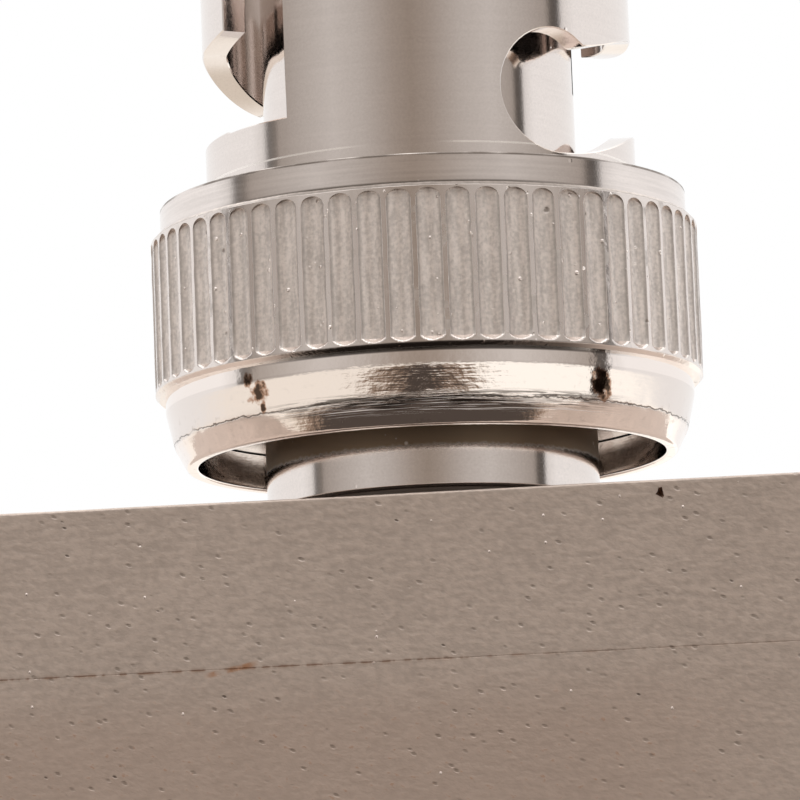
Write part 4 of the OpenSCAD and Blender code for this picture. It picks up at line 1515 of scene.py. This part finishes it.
class SPLITTER_OT_jacks(bpy.types.Operator):
    """Turns both jacks with their insulators and contacts"""

    bl_idname = "splitter.jacks"
    bl_label = "Jacks"

    def execute(self, context):
        jack, plug = context.scene.splitter_jack, context.scene.splitter_plug
        nickel = [turned_plating(context.scene.splitter_finish, axis_x=JACK_X)]
        white, gold = [shared(insulator_white)], [shared(gold_plating)]
        for side, x in (("left", -JACK_X), ("right", JACK_X)):
            shell = jack_shell_mesh(jack, x)
            core = jack_insulator_mesh(jack, plug, x)
            contact = jack_contact_mesh(jack, plug, x)
            name, suffix = f"{side}_jack", f"_{side}"
            piece(name, shell, nickel, "base", "jack_shell" + suffix)
            piece(name + "_insulator", core, white, "base", "jack_insulator" + suffix)
            piece(name + "_contact", contact, gold, "base", "jack_contact" + suffix)
        return {"FINISHED"}


# Stage

def studio_world(studio):
    """White studio behind and beside the object, a darker half with the camera in front of it."""
    world = bpy.data.worlds.new("studio")
    world.use_nodes = True
    tree = world.node_tree
    background = tree.nodes["Background"]
    wire = Wire(tree)
    x, y, z = wire.node("ShaderNodeTexCoord", output="Generated").parts()
    swing = studio.light_turn
    ahead = x * math.sin(swing) - y * math.cos(swing)
    aside = x * math.cos(swing) + y * math.sin(swing)
    angle = abs(aside.math("ARCTAN2", ahead)) * (180 / math.pi)
    rise = z.math("ARCSINE") * (180 / math.pi)
    def stop(degrees, level, warmth):
        return degrees / 180, (level, level * (1 - 0.55 * warmth), level * (1 - warmth), 1.0)
    ring = wire.node(
        "ShaderNodeValToRGB",
        {"stops": [
            stop(0, 0.34, 0.28), stop(9, 0.39, 0.24), stop(27, 0.56, 0.12), stop(43, 0.65, 0.09),
            stop(62, 0.53, 0.13), stop(77, 0.42, 0.18), stop(80, 0.24, 0.2), stop(85, 0.20, 0.1),
            stop(89, 0.85, 0.03), stop(98, 1.0, 0.01),
        ]},
        {0: angle / 180.0},
    )
    strip = abs(angle - 83.5)
    right = aside.smooth(-0.1, 0.1)
    dusk = strip.smooth(5.0, 2.0) * right * 0.6
    ring = dusk.blend(ring, (0.05, 0.04, 0.035, 1.0))
    table = right.blend((1.06, 1.0, 0.92, 1.0), (1.3, 1.27, 1.2, 1.0))
    table = rise.smooth(-24.0, -40.0).blend(table, (0.80, 0.72, 0.62, 1.0))
    fan = angle + 2.1 * rise + 18.0
    lowest = rise.smooth(-8.0, -13.0)
    table = (fan.smooth(14.0, 2.0) * lowest).blend(table, (0.32, 0.23, 0.17, 1.0))
    table = (fan.smooth(2.0, -12.0) * lowest).blend(table, (0.08, 0.064, 0.055, 1.0))
    gloom = strip.smooth(5.0, 3.0) * rise.smooth(-38.0, -28.0) * right
    table = gloom.blend(table, (0.06, 0.045, 0.04, 1.0))
    light = rise.smooth(-2.0, -9.0).blend(ring, table)
    light = rise.smooth(30.0, 48.0).blend(light, (1.5, 1.48, 1.45, 1.0))
    seen = wire.node("ShaderNodeLightPath", output="Is Camera Ray")
    light = seen.blend(light, (1.0, 1.0, 1.0, 1.0))
    tree.links.new(light.socket, background.inputs["Color"])
    return world


def floor_material(finishes):
    """Matt pale floor with a faint mottle. Reflections look past it, to the studio's own light."""
    f = Finish("pale_floor", metallic=0.0)
    cloud = f.wire.speckle(f.place, 0.02)
    f.feed("Base Color", cloud.smooth(0.3, 0.7).blend(rgba(finishes.floor, 0.98), rgba(finishes.floor)))
    f.feed("Roughness", 0.9)
    tree = f.wire.tree
    glossy = f.wire.node("ShaderNodeLightPath", output="Is Glossy Ray")
    clear = f.wire.node("ShaderNodeBsdfTransparent")
    shader = Wire(tree, f.shader.outputs[0])
    mixed = f.wire.node("ShaderNodeMixShader", None, {0: glossy, 1: shader, 2: clear})
    tree.links.new(mixed.socket, tree.nodes["Material Output"].inputs["Surface"])
    return f.material


class SPLITTER_OT_stage(bpy.types.Operator):
    """Sets up the floor, the studio's light and the camera"""

    bl_idname = "splitter.stage"
    bl_label = "Stage"

    def execute(self, context):
        scene = context.scene
        studio = scene.splitter_studio
        work = bmesh.new()
        bmesh.ops.create_circle(work, cap_ends=True, radius=studio.floor_r, segments=128)
        mesh = settled(work, bpy.data.meshes.new("floor"))
        mesh.materials.append(floor_material(scene.splitter_finish))
        added("floor", mesh)
        scene.world = studio_world(studio)
        scene.view_settings.view_transform = "Standard"
        camera = bpy.data.cameras.new("camera")
        camera.lens = studio.lens
        camera.clip_start = MM
        camera.clip_end = 5.0
        thing = added("camera", camera)
        thing.matrix_world = (
            Matrix.Translation((studio.camera_x, studio.camera_y, studio.camera_z))
            @ Matrix.Rotation(-studio.yaw, 4, "Z")
            @ Matrix.Rotation(math.radians(90) + studio.pitch, 4, "X")
            @ Matrix.Rotation(studio.roll, 4, "Z")
        )
        scene.camera = thing
        return {"FINISHED"}


class SPLITTER_PT_panel(bpy.types.Panel):
    """Lists the steps that build the splitter"""

    bl_idname = "SPLITTER_PT_panel"
    bl_label = "Coaxial Y splitter"
    bl_space_type = "VIEW_3D"
    bl_region_type = "UI"
    bl_category = "Splitter"

    def draw(self, context):
        for operator in OPERATORS:
            self.layout.operator(operator.bl_idname)


GROUPS = {
    "splitter_block": SplitterBlock,
    "splitter_sleeve": SplitterSleeve,
    "splitter_plug": SplitterPlug,
    "splitter_jack": SplitterJack,
    "splitter_finish": SplitterFinish,
    "splitter_studio": SplitterStudio,
}
OPERATORS = (
    SPLITTER_OT_block, SPLITTER_OT_plug, SPLITTER_OT_sleeve, SPLITTER_OT_jacks, SPLITTER_OT_stage,
)


def register():
    for name, group in GROUPS.items():
        bpy.utils.register_class(group)
        setattr(bpy.types.Scene, name, PointerProperty(type=group))
    for item in (*OPERATORS, SPLITTER_PT_panel):
        bpy.utils.register_class(item)


def unregister():
    for item in (SPLITTER_PT_panel, *reversed(OPERATORS)):
        bpy.utils.unregister_class(item)
    for name, group in GROUPS.items():
        delattr(bpy.types.Scene, name)
        bpy.utils.unregister_class(group)


def main():
    register()
    bpy.ops.splitter.block()
    bpy.ops.splitter.plug()
    bpy.ops.splitter.sleeve()
    bpy.ops.splitter.jacks()
    bpy.ops.splitter.stage()


if __name__ == "__main__":
    main()
